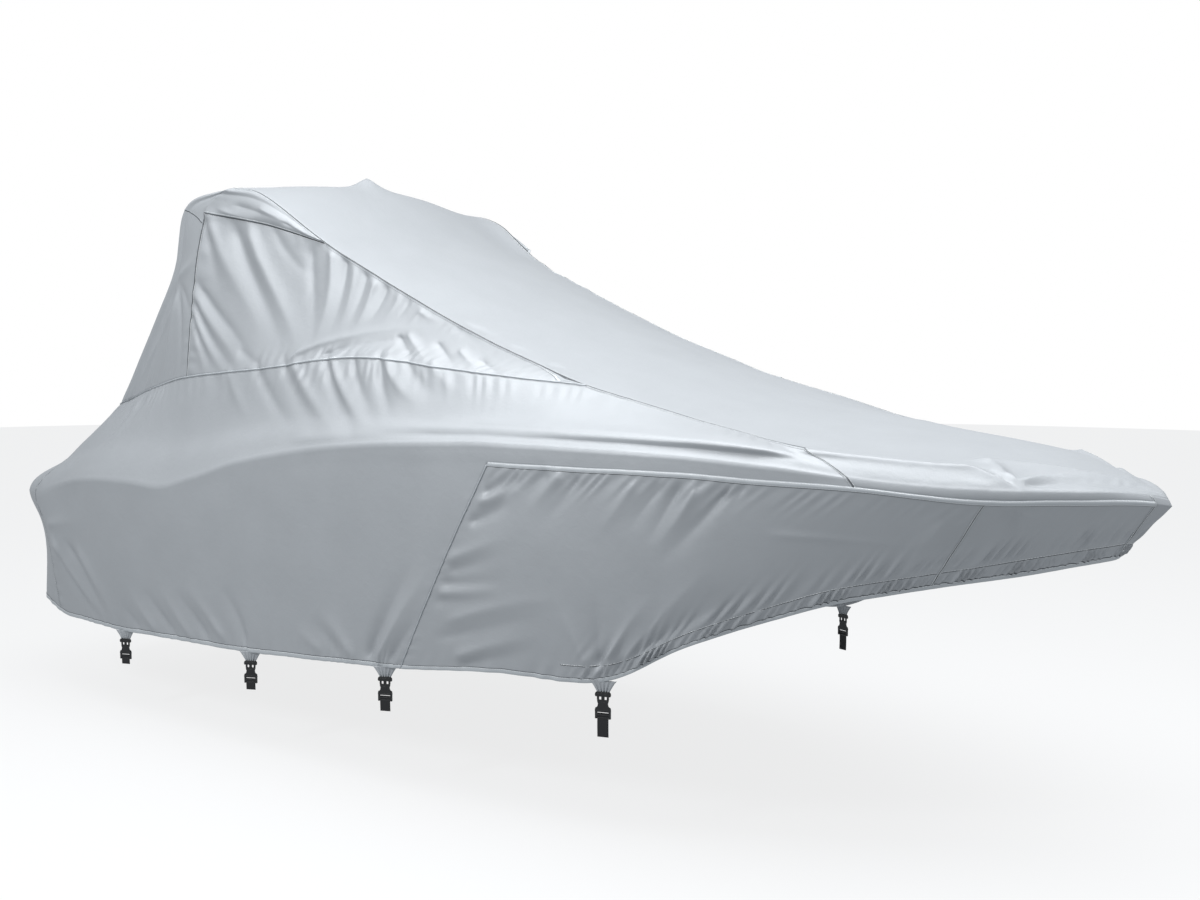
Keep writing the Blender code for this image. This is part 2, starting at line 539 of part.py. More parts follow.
def add_panel(name, surface, along, down, keep, material, collection):
    """One sewn panel: a grid laid on the surface, its folds raised, and the cloth's thickness put inside it."""
    bm = bmesh.new()
    columns = len(along) - 1
    rows = len(down) - 1
    bmesh.ops.create_grid(bm, x_segments=columns, y_segments=rows, size=0.5)
    bm.verts.ensure_lookup_table()
    places = [(round((v.co.x + 0.5) * columns), round((v.co.y + 0.5) * rows)) for v in bm.verts]
    at_a = np.array([along[i] for i, _ in places])
    at_d = np.array([down[j] for _, j in places])
    points = folded(surface(at_a, at_d))
    cells = {}
    for face in bm.faces:
        centre = face.calc_center_median()
        cells[face] = (int((centre.x + 0.5) * columns), int((centre.y + 0.5) * rows))
    spare = []
    for face, (i, j) in cells.items():
        if not keep((along[i] + along[i + 1]) / 2, (down[j] + down[j + 1]) / 2):
            spare.append(face)
    for vert, point in zip(bm.verts, points):
        vert.co = Vector(point) - Vector(ORIGIN)
    bmesh.ops.delete(bm, geom=spare, context="FACES")
    bmesh.ops.remove_doubles(bm, verts=bm.verts, dist=0.0001)
    bmesh.ops.dissolve_degenerate(bm, edges=bm.edges, dist=0.0001)
    bmesh.ops.recalc_face_normals(bm, faces=bm.faces)
    pull_in_edges(bm, SEAM_INSET)
    middle = Vector(INSIDE) - Vector(ORIGIN)
    outward = sum(face.normal.dot(face.calc_center_median() - middle) for face in bm.faces)
    if outward < 0.0:
        bmesh.ops.reverse_faces(bm, faces=bm.faces)
    mesh = bpy.data.meshes.new(name)
    bm.to_mesh(mesh)
    bm.free()
    mesh.shade_smooth()
    panel = add_object(name, mesh, material, collection)
    thickness = panel.modifiers.new("Cloth", "SOLIDIFY")
    thickness.thickness = CLOTH
    thickness.offset = 0.0
    return panel


def everywhere(_along, _down):
    return True


SLOPE_ROWS = ((0.0, 3), (1.0, 3))
RAIL_ROWS = ((2.0, 2),)
FALL_ROWS = ((3.0, 6), (4.0, 0))
BACK_ROWS = ((0.0, 2), (1.0, 3), (2.0, 3), (3.0, 4), (4.0, 0))


def build_top(material, collection):
    """The long panel over the tower and the fore deck, which reaches down to the skirt at the bow."""
    seam = MARK["bow_seam"]
    nose = MARK["nose_seam"]
    along = stretch_of("tower_seam", "stem")
    half = spread(((-1.0, 4), *SLOPE_ROWS, *RAIL_ROWS, (3.0, 0)))
    down = np.concatenate([-2.0 - half[::-1], half[1:]])

    def both_sides(places, drops):
        far = drops < -1.0
        points = bow_surface(places, np.where(far, -2.0 - drops, drops))
        points[:, 1] *= np.where(far, -1.0, 1.0)
        return points

    def keep(place, drop):
        reach = -2.0 - drop if drop < -1.0 else drop
        if place < seam:
            return reach < 0.0
        return place < nose or reach < 2.0

    return add_panel("top_panel", both_sides, along, down, keep, material, collection)


def build_tower_back(material, collection):
    along = both_ways(stretch_of("stern_middle", "tower_seam"))
    return add_panel("tower_back", mirrored(aft_surface), along, spread(BACK_ROWS), everywhere, material, collection)


def build_stern(material, collection):
    along = both_ways(stretch_of("stern_middle", "corner_seam"))
    down = spread((*SLOPE_ROWS, *RAIL_ROWS, *FALL_ROWS))
    return add_panel("stern_panel", mirrored(skirt_surface), along, down, everywhere, material, collection)


def build_stem(material, collection):
    half = stretch_of("nose_seam", "stem")
    along = np.concatenate([half, 2 * MARK["stem"] - half[::-1][1:]])
    down = spread((*RAIL_ROWS, *FALL_ROWS))

    def round_stem(places, drops):
        over = places > MARK["stem"]
        points = skirt_surface(np.where(over, 2 * MARK["stem"] - places, places), drops)
        points[:, 1] *= np.where(over, -1.0, 1.0)
        return points

    return add_panel("stem_panel", round_stem, along, down, everywhere, material, collection)


def build_side(side, sign, top_cloth, skirt_cloth, collection):
    """The panels that are cut once for each side: cheek, tower side, long side, and the two forward skirts."""

    def on_side(surface):
        def own(along, down):
            points = surface(along, down)
            points[:, 1] *= sign
            return points

        return own

    def keep(place, drop):
        return drop < 3.0 or place < MARK["skirt_seam"]

    corner = MARK["corner_seam"]
    tower = MARK["tower_seam"]
    brow_places = (stretch_of("corner_seam", "tower_seam") - corner) / (tower - corner)
    skirt_rows = spread(FALL_ROWS)
    panels = (
        ("tower_cheek", cheek_surface, stretch_of("tower_seam", "strap_2"), brow_places, everywhere, top_cloth),
        ("tower_side", tower_surface, stretch_of("tower_seam", "tower_tip"), spread(BACK_ROWS), everywhere, top_cloth),
        ("side_panel", skirt_surface, stretch_of("corner_seam", "bow_seam"),
         spread((*SLOPE_ROWS, *RAIL_ROWS, *FALL_ROWS)), keep, skirt_cloth),
        ("fore_skirt", skirt_surface, stretch_of("skirt_seam", "dart"), skirt_rows, everywhere, skirt_cloth),
        ("bow_skirt", skirt_surface, stretch_of("dart", "nose_seam"), skirt_rows, everywhere, skirt_cloth),
    )
    for name, surface, along, down, kept, cloth in panels:
        add_panel(f"{name}_{side}", on_side(surface), along, down, kept, cloth, collection)


def outline_plate(name, outline, thickness, material, collection, place):
    """A plate cut to an outline of (across, up) points, with its edges eased."""
    curve = bpy.data.curves.new(name, "CURVE")
    curve.dimensions = "2D"
    curve.fill_mode = "BOTH"
    ease = 0.0012 if thickness > 0.004 else 0.0
    curve.extrude = thickness / 2 - ease
    curve.bevel_depth = ease
    curve.bevel_resolution = 0
    curve.offset = -ease
    spline = curve.splines.new("POLY")
    spline.points.add(len(outline) - 1)
    for point, (across, up) in zip(spline.points, outline):
        point.co = (across, up, 0.0, 1.0)
    spline.use_cyclic_u = True
    plate = bpy.data.objects.new(name, curve)
    curve.materials.append(material)
    plate.matrix_world = place
    collection.objects.link(plate)
    return plate


def both_halves(right):
    """A closed outline from its right half, listed from the top down."""
    return right + [(-across, up) for across, up in reversed(right)]


def build_strap(side, sign, row, cloth, plastic, webbing, collection):
    """One strap set, hung from the hem: cloth tab, upper and lower buckle halves, and the webbing's tail."""
    number, x, out, up, yaw, tail = row
    hem = folded(np.array([[x, out * sign, up]]))[0]
    hang = Vector(hem) - Vector((0.0, 0.0, DROP_CLEAR)) - Vector(ORIGIN)
    turn = Matrix.Rotation(-sign * math.radians(yaw), 4, "Z")
    stand = Matrix.Rotation(math.radians(90), 4, "X")
    place = Matrix.Translation(hang) @ turn @ stand
    tab = both_halves([(TAB_TOP / 2, 0.0), (TAB_FOOT / 2, -TAB_DROP)])
    outline_plate(f"strap_tab_{side}_{number}", tab, CLOTH, cloth, collection, place)
    half = BUCKLE_WIDTH / 2
    top = -TAB_DROP - CLEAR
    foot = top - PRONG_HEIGHT
    prong = both_halves([(half * 0.80, top), (half, top - 0.008), (half, top - 0.020), (half * 0.74, foot)])
    outline_plate(f"buckle_upper_{side}_{number}", prong, BUCKLE_THICK * 0.8, plastic, collection, place)
    top = foot - CLEAR
    foot = top - BODY_HEIGHT
    waist = half * 0.70
    body = both_halves([(waist, top), (waist, top - 0.006), (half * 0.62, top - 0.018), (half * 0.72, top - 0.030),
                        (half * 0.96, top - 0.036), (half, top - 0.048), (half * 0.96, foot + 0.016),
                        (half * 0.82, foot)])
    outline_plate(f"buckle_lower_{side}_{number}", body, BUCKLE_THICK, plastic, collection, place)
    top = foot - CLEAR
    edge = WEBBING_WIDTH / 2
    hanging = both_halves([(edge, top), (edge, top - tail)])
    outline_plate(f"webbing_{side}_{number}", hanging, WEBBING, webbing, collection, place)


def main():
    for obj in list(bpy.data.objects):
        bpy.data.objects.remove(obj)
    collection = bpy.data.collections.new("Boat_Cover")
    bpy.context.scene.collection.children.link(collection)
    top_cloth = new_material("Coated_Polyester_Top", SILVER_TOP, 0.45)
    skirt_cloth = new_material("Coated_Polyester_Skirt", SILVER_SKIRT, 0.55)
    plastic = new_material("Acetal_Black", BLACK, 0.35)
    webbing = new_material("Webbing_Black", BLACK, 0.85)
    build_top(top_cloth, collection)
    build_tower_back(top_cloth, collection)
    build_stern(skirt_cloth, collection)
    build_stem(skirt_cloth, collection)
    for side, sign in (("stbd", -1.0), ("port", 1.0)):
        build_side(side, sign, top_cloth, skirt_cloth, collection)
        for row in STRAPS:
            build_strap(side, sign, row, top_cloth, plastic, webbing, collection)


main()
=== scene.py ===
"""The looks of a fitted boat cover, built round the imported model: cloth panels, seams, hem, straps and stage.

Panels, seams and folds are laid out in a drawing datum: x runs forward from the transom line, out is the
distance from the middle plane, and up is the height above the hem at the stern. ORIGIN turns it into the
model's frame.
"""

import math

import bmesh
import bpy
import numpy as np
from bpy.props import FloatProperty, FloatVectorProperty, PointerProperty
from mathutils import Matrix, Vector, noise


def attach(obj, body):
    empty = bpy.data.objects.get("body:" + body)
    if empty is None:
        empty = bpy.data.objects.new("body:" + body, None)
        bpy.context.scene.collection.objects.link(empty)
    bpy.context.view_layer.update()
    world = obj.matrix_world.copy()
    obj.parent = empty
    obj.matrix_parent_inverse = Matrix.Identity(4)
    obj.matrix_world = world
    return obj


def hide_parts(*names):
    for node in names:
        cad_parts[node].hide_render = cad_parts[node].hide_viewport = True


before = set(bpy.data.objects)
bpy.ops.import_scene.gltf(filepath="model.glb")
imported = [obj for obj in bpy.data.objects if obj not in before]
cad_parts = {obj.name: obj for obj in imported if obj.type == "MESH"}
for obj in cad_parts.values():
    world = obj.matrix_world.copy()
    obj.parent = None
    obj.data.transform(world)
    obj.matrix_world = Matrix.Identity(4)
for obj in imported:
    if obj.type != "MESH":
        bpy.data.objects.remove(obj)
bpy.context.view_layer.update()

bl_info = {
    "name": "Fitted Boat Cover",
    "version": (1, 0, 0),
    "blender": (4, 5, 0),
    "location": "View3D > Sidebar > Boat Cover",
    "description": "Builds a draped, fitted boat cover with its seams, hem, straps and studio",
    "category": "Object",
}

ORIGIN = (1.80, 0.0, 2.66)  # the held-up point, measured from the drawing datum
INSIDE = (2.6, 0.0, 0.6)  # a point inside the cover, by which a panel's outer face is told

# Table of offsets for the skirt. rail is the gunwale's edge, seam the stitching under it, hem the bottom.
# station          rail: x, out, up       seam: x, out, up        hem: x, out, up
SKIRT = (
    ("stern_middle", (-0.270, 0.000, 0.790), (-0.200, 0.000, 0.560), (-0.215, 0.000, 0.060)),
    ("stern_side",   (-0.270, 0.560, 0.785), (-0.200, 0.560, 0.555), (-0.215, 0.560, 0.055)),
    ("stern_round",  (-0.265, 1.050, 0.740), (-0.165, 1.025, 0.545), (-0.205, 0.995, 0.045)),
    ("corner_seam",  (-0.055, 1.135, 0.735), (0.032, 1.136, 0.560), (0.120, 1.088, -0.004)),
    ("quarter",      (0.321, 1.190, 0.821), (0.360, 1.190, 0.720), (0.500, 1.135, -0.012)),
    ("strap_1",      (0.767, 1.250, 0.881), (0.785, 1.248, 0.800), (0.909, 1.170, -0.012)),
    ("flank",        (1.160, 1.257, 0.886), (1.180, 1.254, 0.815), (1.270, 1.188, 0.004)),
    ("tower_seam",   (1.446, 1.260, 0.880), (1.455, 1.258, 0.810), (1.590, 1.200, 0.015)),
    ("tower_mid",    (1.740, 1.260, 0.948), (1.745, 1.258, 0.880), (1.905, 1.202, 0.024)),
    ("strap_2",      (2.078, 1.260, 1.043), (2.080, 1.258, 0.975), (2.150, 1.202, 0.034)),
    ("side_1",       (2.489, 1.260, 1.120), (2.480, 1.258, 1.045), (2.500, 1.202, 0.056)),
    ("side_2",       (3.011, 1.260, 1.186), (2.995, 1.258, 1.100), (2.830, 1.202, 0.080)),
    ("strap_3",      (3.508, 1.256, 1.221), (3.480, 1.256, 1.124), (3.110, 1.202, 0.098)),
    ("skirt_seam",   (3.965, 1.243, 1.238), (3.919, 1.248, 1.144), (3.293, 1.200, 0.113)),
    ("tower_tip",    (4.450, 1.215, 1.234), (4.420, 1.220, 1.144), (3.900, 1.172, 0.178)),
    ("strap_4",      (4.900, 1.160, 1.223), (4.880, 1.165, 1.146), (4.461, 1.100, 0.209)),
    ("shoulder",     (5.290, 1.072, 1.193), (5.290, 1.072, 1.130), (4.860, 1.015, 0.405)),
    ("bow_seam",     (5.570, 0.970, 1.158), (5.600, 0.965, 1.118), (5.270, 0.868, 0.568)),
    ("dart",         (6.005, 0.685, 1.112), (6.013, 0.680, 1.067), (5.754, 0.605, 0.690)),
    ("bow_side",     (6.262, 0.390, 1.098), (6.260, 0.388, 1.058), (6.075, 0.370, 0.752)),
    ("nose_seam",    (6.463, 0.082, 1.078), (6.482, 0.078, 1.043), (6.306, 0.030, 0.792)),
    ("stem",         (6.505, 0.000, 1.060), (6.521, 0.000, 1.030), (6.312, 0.000, 0.795)),
)

# The same stations above the rail: the middle of the slope down to the rail.
# station          side: x, out, up
SLOPE = (
    ("stern_middle", (-0.010, 0.000, 0.980)),
    ("stern_side",   (-0.010, 0.480, 0.980)),
    ("stern_round",  (0.030, 0.880, 0.975)),
    ("corner_seam",  (0.170, 1.010, 0.985)),
    ("quarter",      (0.500, 1.062, 1.060)),
    ("strap_1",      (0.860, 1.098, 1.125)),
    ("flank",        (1.180, 1.115, 1.150)),
    ("tower_seam",   (1.440, 1.128, 1.160)),
    ("tower_mid",    (1.790, 1.138, 1.205)),
    ("strap_2",      (2.150, 1.148, 1.262)),
    ("side_1",       (2.540, 1.152, 1.315)),
    ("side_2",       (3.000, 1.146, 1.340)),
    ("strap_3",      (3.470, 1.132, 1.330)),
    ("skirt_seam",   (3.880, 1.122, 1.322)),
    ("tower_tip",    (4.330, 1.115, 1.320)),
    ("strap_4",      (4.800, 1.075, 1.308)),
    ("shoulder",     (5.170, 1.020, 1.285)),
    ("bow_seam",     (5.495, 0.968, 1.206)),
    ("dart",         (5.950, 0.690, 1.158)),
    ("bow_side",     (6.225, 0.388, 1.126)),
    ("nose_seam",    (6.440, 0.080, 1.091)),
    ("stem",         (6.484, 0.000, 1.078)),
)

# The seam round the tower's foot, where the slope starts as far forward as the tower's tip.
# station          foot: x, out, up
FOOT = (
    ("stern_middle", (0.400, 0.000, 1.270)),
    ("stern_side",   (0.400, 0.380, 1.270)),
    ("stern_round",  (0.430, 0.680, 1.280)),
    ("corner_seam",  (0.545, 0.890, 1.299)),
    ("quarter",      (0.740, 0.935, 1.352)),
    ("strap_1",      (0.950, 0.965, 1.409)),
    ("flank",        (1.200, 1.005, 1.458)),
    ("tower_seam",   (1.434, 1.050, 1.492)),
    ("tower_mid",    (1.840, 1.065, 1.526)),
    ("strap_2",      (2.235, 1.070, 1.558)),
    ("side_1",       (2.595, 1.070, 1.599)),
    ("side_2",       (2.990, 1.045, 1.611)),
    ("strap_3",      (3.380, 1.000, 1.568)),
    ("skirt_seam",   (3.760, 0.945, 1.531)),
    ("tower_tip",    (4.181, 0.866, 1.494)),
)

# Aft of the tower: brow is the seam over its top and down to its corner, lip the edge where the cloth bends.
# station          brow: x, out, up       lip: x, out, up
TOWER_AFT = (
    ("stern_middle", (1.660, 0.000, 2.595), (1.170, 0.000, 2.540)),
    ("stern_side",   (1.669, 0.430, 2.588), (1.172, 0.400, 2.534)),
    ("stern_round",  (1.684, 0.700, 2.568), (1.185, 0.710, 2.512)),
    ("corner_seam",  (1.700, 0.900, 2.545), (1.245, 0.885, 2.462)),
    ("quarter",      (1.630, 0.942, 2.514), (1.330, 0.932, 2.432)),
    ("strap_1",      (1.570, 0.955, 2.482), (1.400, 0.952, 2.410)),
    ("flank",        (1.530, 0.963, 2.448), (1.455, 0.962, 2.384)),
    ("tower_seam",   (1.512, 0.970, 2.416), (1.503, 0.974, 2.355)),
)
CHEST_SHARE = 0.28  # two more rows between the lip and the foot, as shares of the way down
BELLY_SHARE = 0.60
CHEST_IN = 0.088  # how far the tower's frame holds them forward of a straight line
BELLY_IN = 0.062
SEAM_OUT = 0.020  # and aft of it at the corner seam

# The top panel: edge is its long side seam and, forward of bow_seam, the crest of the fore deck. crown is the
# cloth's middle line.
# station          edge: x, out, up       crown: x, up
TOP = (
    ("tower_seam",   (1.700, 0.900, 2.545), (1.660, 2.595)),
    ("tower_mid",    (1.930, 0.895, 2.493), (1.900, 2.582)),
    ("strap_2",      (2.373, 0.833, 2.218), (2.370, 2.290)),
    ("side_1",       (2.780, 0.840, 2.030), (2.780, 2.105)),
    ("side_2",       (3.170, 0.848, 1.856), (3.170, 1.935)),
    ("strap_3",      (3.550, 0.854, 1.702), (3.550, 1.785)),
    ("skirt_seam",   (3.888, 0.860, 1.588), (3.888, 1.665)),
    ("tower_tip",    (4.181, 0.866, 1.494), (4.181, 1.573)),
    ("strap_4",      (4.748, 0.882, 1.370), (4.720, 1.430)),
    ("shoulder",     (5.098, 0.892, 1.302), (5.080, 1.360)),
    ("bow_seam",     (5.372, 0.944, 1.262), (5.380, 1.316)),
    ("dart",         (5.895, 0.680, 1.203), (5.850, 1.248)),
    ("bow_side",     (6.180, 0.375, 1.150), (6.150, 1.192)),
    ("nose_seam",    (6.410, 0.075, 1.100), (6.390, 1.116)),
    ("stem",         (6.455, 0.000, 1.092), (6.455, 1.092)),
)

# The cheek under the top panel's edge at the tower: its lower seam.
# station          eave: x, out, up
EAVE = (
    ("tower_seam",   (1.512, 0.970, 2.416)),
    ("tower_mid",    (1.960, 0.912, 2.333)),
    ("strap_2",      (2.373, 0.833, 2.218)),
)
LIP_SHARE = 0.065  # the lip's share of the corner seam's height
TOWER_CORNER = 0.6  # the tower's side takes up the shape of its corner over this length
STITCH_FADE = 0.5  # over this length aft of the skirt seam the bend at the stitching softens
BELLY = 0.016  # outward belly of the forward skirts, for each metre of half breadth
SAG = 0.05  # how far the tower's side sinks in, for each metre of its height

# Folds, drawn on one of three planes: side (x, up), end (out, up) or plan (x, out). Each row runs from one
# point by way of a second to a third. width is the fold's half width at its start and end, and height is how
# far it stands out at its start (negative: sinks in).
#        from          by way of     to            width: start, end   height
FOLDS = {
    "side": (
        # the tower's side: from the corner under the cheek
        ((1.50, 2.44), (1.58, 2.20), (1.66, 1.98), (0.020, 0.050), -0.018),
        ((1.53, 2.44), (1.70, 2.13), (2.04, 1.74), (0.030, 0.075), 0.018),
        ((1.72, 2.40), (1.90, 2.05), (2.24, 1.64), (0.034, 0.060), -0.022),
        ((1.84, 2.40), (2.03, 2.02), (2.42, 1.60), (0.034, 0.065), 0.022),
        ((2.00, 2.36), (2.16, 2.14), (2.34, 2.04), (0.022, 0.040), -0.007),
        ((2.28, 2.26), (2.33, 1.98), (2.46, 1.68), (0.026, 0.040), -0.013),
        # the tower's side: steep folds from the corner seam
        ((1.44, 2.06), (1.70, 1.82), (2.07, 1.55), (0.018, 0.036), -0.015),
        ((1.44, 2.00), (1.64, 1.78), (1.98, 1.53), (0.016, 0.030), 0.012),
        ((1.44, 1.96), (1.61, 1.73), (1.89, 1.52), (0.015, 0.024), -0.015),
        ((1.44, 1.92), (1.57, 1.71), (1.80, 1.51), (0.015, 0.024), 0.013),
        ((1.44, 1.89), (1.54, 1.69), (1.72, 1.51), (0.015, 0.022), -0.013),
        ((1.45, 1.84), (1.51, 1.68), (1.63, 1.51), (0.015, 0.020), 0.010),
        ((1.86, 1.66), (1.98, 1.60), (2.12, 1.56), (0.015, 0.022), -0.008),
        # the tower's side: upright folds under the top panel's edge
        ((2.42, 2.26), (2.46, 2.00), (2.47, 1.72), (0.026, 0.042), 0.019),
        ((2.52, 2.20), (2.55, 1.98), (2.56, 1.76), (0.024, 0.036), -0.018),
        ((2.60, 2.16), (2.62, 1.97), (2.62, 1.78), (0.020, 0.028), 0.010),
        ((2.70, 2.12), (2.70, 1.94), (2.68, 1.77), (0.020, 0.030), -0.014),
        ((2.78, 2.08), (2.77, 1.92), (2.73, 1.78), (0.022, 0.030), 0.017),
        ((2.86, 2.04), (2.85, 1.90), (2.80, 1.79), (0.018, 0.026), -0.012),
        ((2.97, 1.99), (2.95, 1.89), (2.90, 1.80), (0.016, 0.022), 0.008),
        ((3.04, 1.95), (3.02, 1.87), (2.99, 1.80), (0.015, 0.018), -0.008),
        ((3.14, 1.91), (3.11, 1.83), (3.07, 1.77), (0.015, 0.018), 0.007),
        # the tower's side: the long arc and the puckers above the foot seam
        ((2.30, 1.58), (2.66, 1.71), (3.20, 1.765), (0.016, 0.030), 0.020),
        ((2.52, 1.58), (2.78, 1.67), (3.20, 1.710), (0.020, 0.028), -0.016),
        ((2.66, 1.57), (2.77, 1.66), (2.90, 1.70), (0.015, 0.018), 0.010),
        ((3.02, 1.73), (3.12, 1.66), (3.24, 1.58), (0.015, 0.020), -0.012),
        ((3.08, 1.74), (3.18, 1.67), (3.31, 1.58), (0.015, 0.020), 0.010),
        ((3.26, 1.70), (3.36, 1.63), (3.47, 1.56), (0.015, 0.018), -0.011),
        ((3.42, 1.66), (3.50, 1.61), (3.60, 1.55), (0.015, 0.018), 0.009),
        ((3.55, 1.61), (3.64, 1.57), (3.73, 1.53), (0.015, 0.016), -0.009),
        # the slope: the fan below the foot seam
        ((2.62, 1.66), (2.74, 1.44), (3.02, 1.24), (0.018, 0.038), -0.021),
        ((2.68, 1.66), (2.81, 1.44), (3.09, 1.27), (0.018, 0.034), 0.018),
        ((2.82, 1.66), (2.91, 1.47), (3.12, 1.29), (0.018, 0.030), -0.013),
        ((2.98, 1.67), (3.06, 1.48), (3.20, 1.32), (0.018, 0.030), -0.018),
        ((3.03, 1.67), (3.15, 1.50), (3.35, 1.40), (0.018, 0.034), 0.018),
        ((3.13, 1.65), (3.27, 1.51), (3.44, 1.43), (0.018, 0.030), -0.013),
        ((3.30, 1.62), (3.42, 1.52), (3.57, 1.45), (0.018, 0.030), 0.011),
        ((2.36, 1.64), (2.56, 1.42), (2.89, 1.23), (0.020, 0.040), 0.017),
        ((2.25, 1.64), (2.44, 1.43), (2.66, 1.28), (0.020, 0.040), -0.016),
        ((2.03, 1.61), (2.25, 1.39), (2.52, 1.24), (0.020, 0.040), -0.015),
        ((1.81, 1.58), (1.92, 1.42), (2.07, 1.29), (0.018, 0.034), 0.010),
        # the slope: folds running down to the stern corner
        ((0.96, 1.39), (0.85, 1.23), (0.74, 1.04), (0.024, 0.036), -0.011),
        ((0.90, 1.36), (0.77, 1.20), (0.64, 1.03), (0.020, 0.030), 0.010),
        ((0.81, 1.34), (0.71, 1.17), (0.52, 1.02), (0.020, 0.030), -0.010),
        ((1.15, 1.43), (1.05, 1.24), (0.96, 1.05), (0.024, 0.036), 0.009),
        ((0.36, 0.91), (0.40, 0.99), (0.61, 1.06), (0.030, 0.050), -0.009),
        # ridges along the gunwale
        ((3.05, 1.28), (4.18, 1.30), (5.29, 1.26), (0.016, 0.014), 0.010),
        ((5.60, 1.23), (4.60, 1.29), (3.40, 1.29), (0.014, 0.016), 0.008),
        ((3.40, 1.31), (4.60, 1.31), (5.90, 1.20), (0.018, 0.014), 0.014),
        ((5.55, 1.24), (4.80, 1.30), (3.80, 1.32), (0.014, 0.016), 0.012),
        ((3.10, 1.245), (4.20, 1.268), (5.40, 1.228), (0.012, 0.011), -0.010),
        ((5.50, 1.220), (4.60, 1.262), (3.50, 1.258), (0.011, 0.012), -0.008),
        ((2.50, 1.19), (2.92, 1.23), (3.40, 1.26), (0.034, 0.026), 0.010),
        # the cheek's folds, and tucks beside the top panel's edge
        ((3.33, 1.78), (3.42, 1.74), (3.51, 1.70), (0.016, 0.022), -0.011),
        ((3.11, 1.86), (3.17, 1.82), (3.26, 1.79), (0.016, 0.022), 0.008),
        ((1.60, 2.44), (1.79, 2.38), (1.95, 2.36), (0.018, 0.028), 0.010),
        ((1.71, 2.45), (1.95, 2.39), (2.14, 2.31), (0.018, 0.024), -0.010),
        ((1.92, 2.43), (2.03, 2.38), (2.14, 2.35), (0.018, 0.024), 0.008),
        ((2.09, 2.34), (2.18, 2.30), (2.26, 2.26), (0.015, 0.018), -0.009),
        # the tower's back: the fan from the held point
        ((1.21, 2.05), (1.06, 1.76), (0.84, 1.40), (0.020, 0.030), -0.014),
        ((1.25, 2.03), (1.18, 1.76), (1.08, 1.44), (0.020, 0.030), 0.012),
        ((1.25, 2.03), (1.32, 1.75), (1.36, 1.50), (0.020, 0.030), -0.012),
        ((1.25, 2.03), (1.37, 1.93), (1.44, 1.84), (0.018, 0.024), -0.011),
        ((1.20, 2.05), (1.35, 2.11), (1.47, 2.17), (0.024, 0.034), 0.011),
        ((1.23, 1.93), (1.00, 1.67), (0.71, 1.36), (0.020, 0.030), 0.010),
        # the long side: from the pinch at the stern corner
        ((0.15, 0.52), (0.35, 0.27), (0.80, 0.02), (0.024, 0.055), 0.020),
        ((0.20, 0.43), (0.38, 0.21), (0.66, 0.03), (0.024, 0.044), -0.019),
        ((0.42, 0.49), (0.67, 0.25), (0.84, 0.04), (0.036, 0.054), 0.014),
        ((0.29, 0.50), (0.55, 0.26), (0.76, 0.04), (0.024, 0.036), -0.013),
        ((0.09, 0.55), (0.29, 0.58), (0.56, 0.62), (0.025, 0.050), 0.009),
        ((0.32, 0.84), (0.84, 0.94), (1.45, 0.93), (0.040, 0.052), 0.008),
        # the long side: slanting folds along the hem
        ((1.12, 0.01), (1.05, 0.08), (0.94, 0.14), (0.024, 0.042), -0.010),
        ((1.32, 0.02), (1.17, 0.13), (1.05, 0.24), (0.024, 0.052), 0.012),
        ((1.52, 0.01), (1.32, 0.16), (1.20, 0.26), (0.024, 0.050), -0.012),
        ((1.67, 0.02), (1.50, 0.17), (1.38, 0.30), (0.022, 0.050), 0.011),
        ((1.83, 0.02), (1.66, 0.18), (1.52, 0.29), (0.022, 0.050), -0.012),
        ((1.99, 0.03), (1.79, 0.21), (1.64, 0.33), (0.022, 0.050), 0.012),
        ((2.13, 0.03), (2.05, 0.23), (1.93, 0.36), (0.022, 0.054), -0.014),
        ((2.75, 0.11), (2.64, 0.17), (2.54, 0.21), (0.022, 0.042), 0.008),
        ((2.88, 0.11), (2.77, 0.21), (2.66, 0.27), (0.022, 0.046), -0.010),
        ((2.99, 0.10), (2.87, 0.22), (2.75, 0.32), (0.022, 0.050), 0.012),
        # the long side: the fan over the third strap
        ((3.06, 0.11), (3.16, 0.29), (3.42, 0.63), (0.018, 0.050), -0.020),
        ((3.13, 0.10), (3.26, 0.30), (3.51, 0.59), (0.018, 0.048), 0.019),
        ((3.20, 0.12), (3.32, 0.26), (3.46, 0.40), (0.016, 0.034), -0.013),
        # the fore skirt: from its upper corner and from the skirt seam
        ((3.89, 1.01), (3.96, 1.05), (4.05, 1.09), (0.016, 0.028), -0.013),
        ((3.79, 0.87), (3.91, 0.92), (4.06, 0.99), (0.018, 0.040), -0.015),
        ((3.84, 0.96), (3.96, 1.00), (4.10, 1.05), (0.018, 0.036), 0.013),
        ((3.65, 0.64), (3.78, 0.67), (3.95, 0.73), (0.018, 0.038), -0.011),
        ((3.59, 0.57), (3.77, 0.59), (4.01, 0.62), (0.018, 0.038), -0.011),
        ((3.57, 0.52), (3.73, 0.54), (3.97, 0.58), (0.018, 0.038), 0.011),
        ((3.53, 0.47), (3.70, 0.50), (3.93, 0.53), (0.018, 0.038), -0.009),
        ((3.64, 0.68), (3.80, 0.74), (4.02, 0.82), (0.018, 0.040), 0.010),
        ((3.58, 0.37), (3.90, 0.48), (4.29, 0.57), (0.022, 0.040), 0.009),
        ((3.52, 0.29), (3.84, 0.38), (4.17, 0.47), (0.022, 0.040), -0.008),
        # the fore skirt: hanging from the stitching
        ((4.11, 1.11), (4.03, 1.03), (3.94, 0.89), (0.022, 0.040), -0.008),
        ((4.27, 1.13), (4.20, 1.08), (4.13, 1.00), (0.018, 0.040), -0.012),
        ((4.34, 1.13), (4.27, 1.07), (4.18, 0.98), (0.018, 0.036), 0.011),
        ((4.42, 1.13), (4.36, 1.04), (4.22, 0.90), (0.018, 0.036), -0.009),
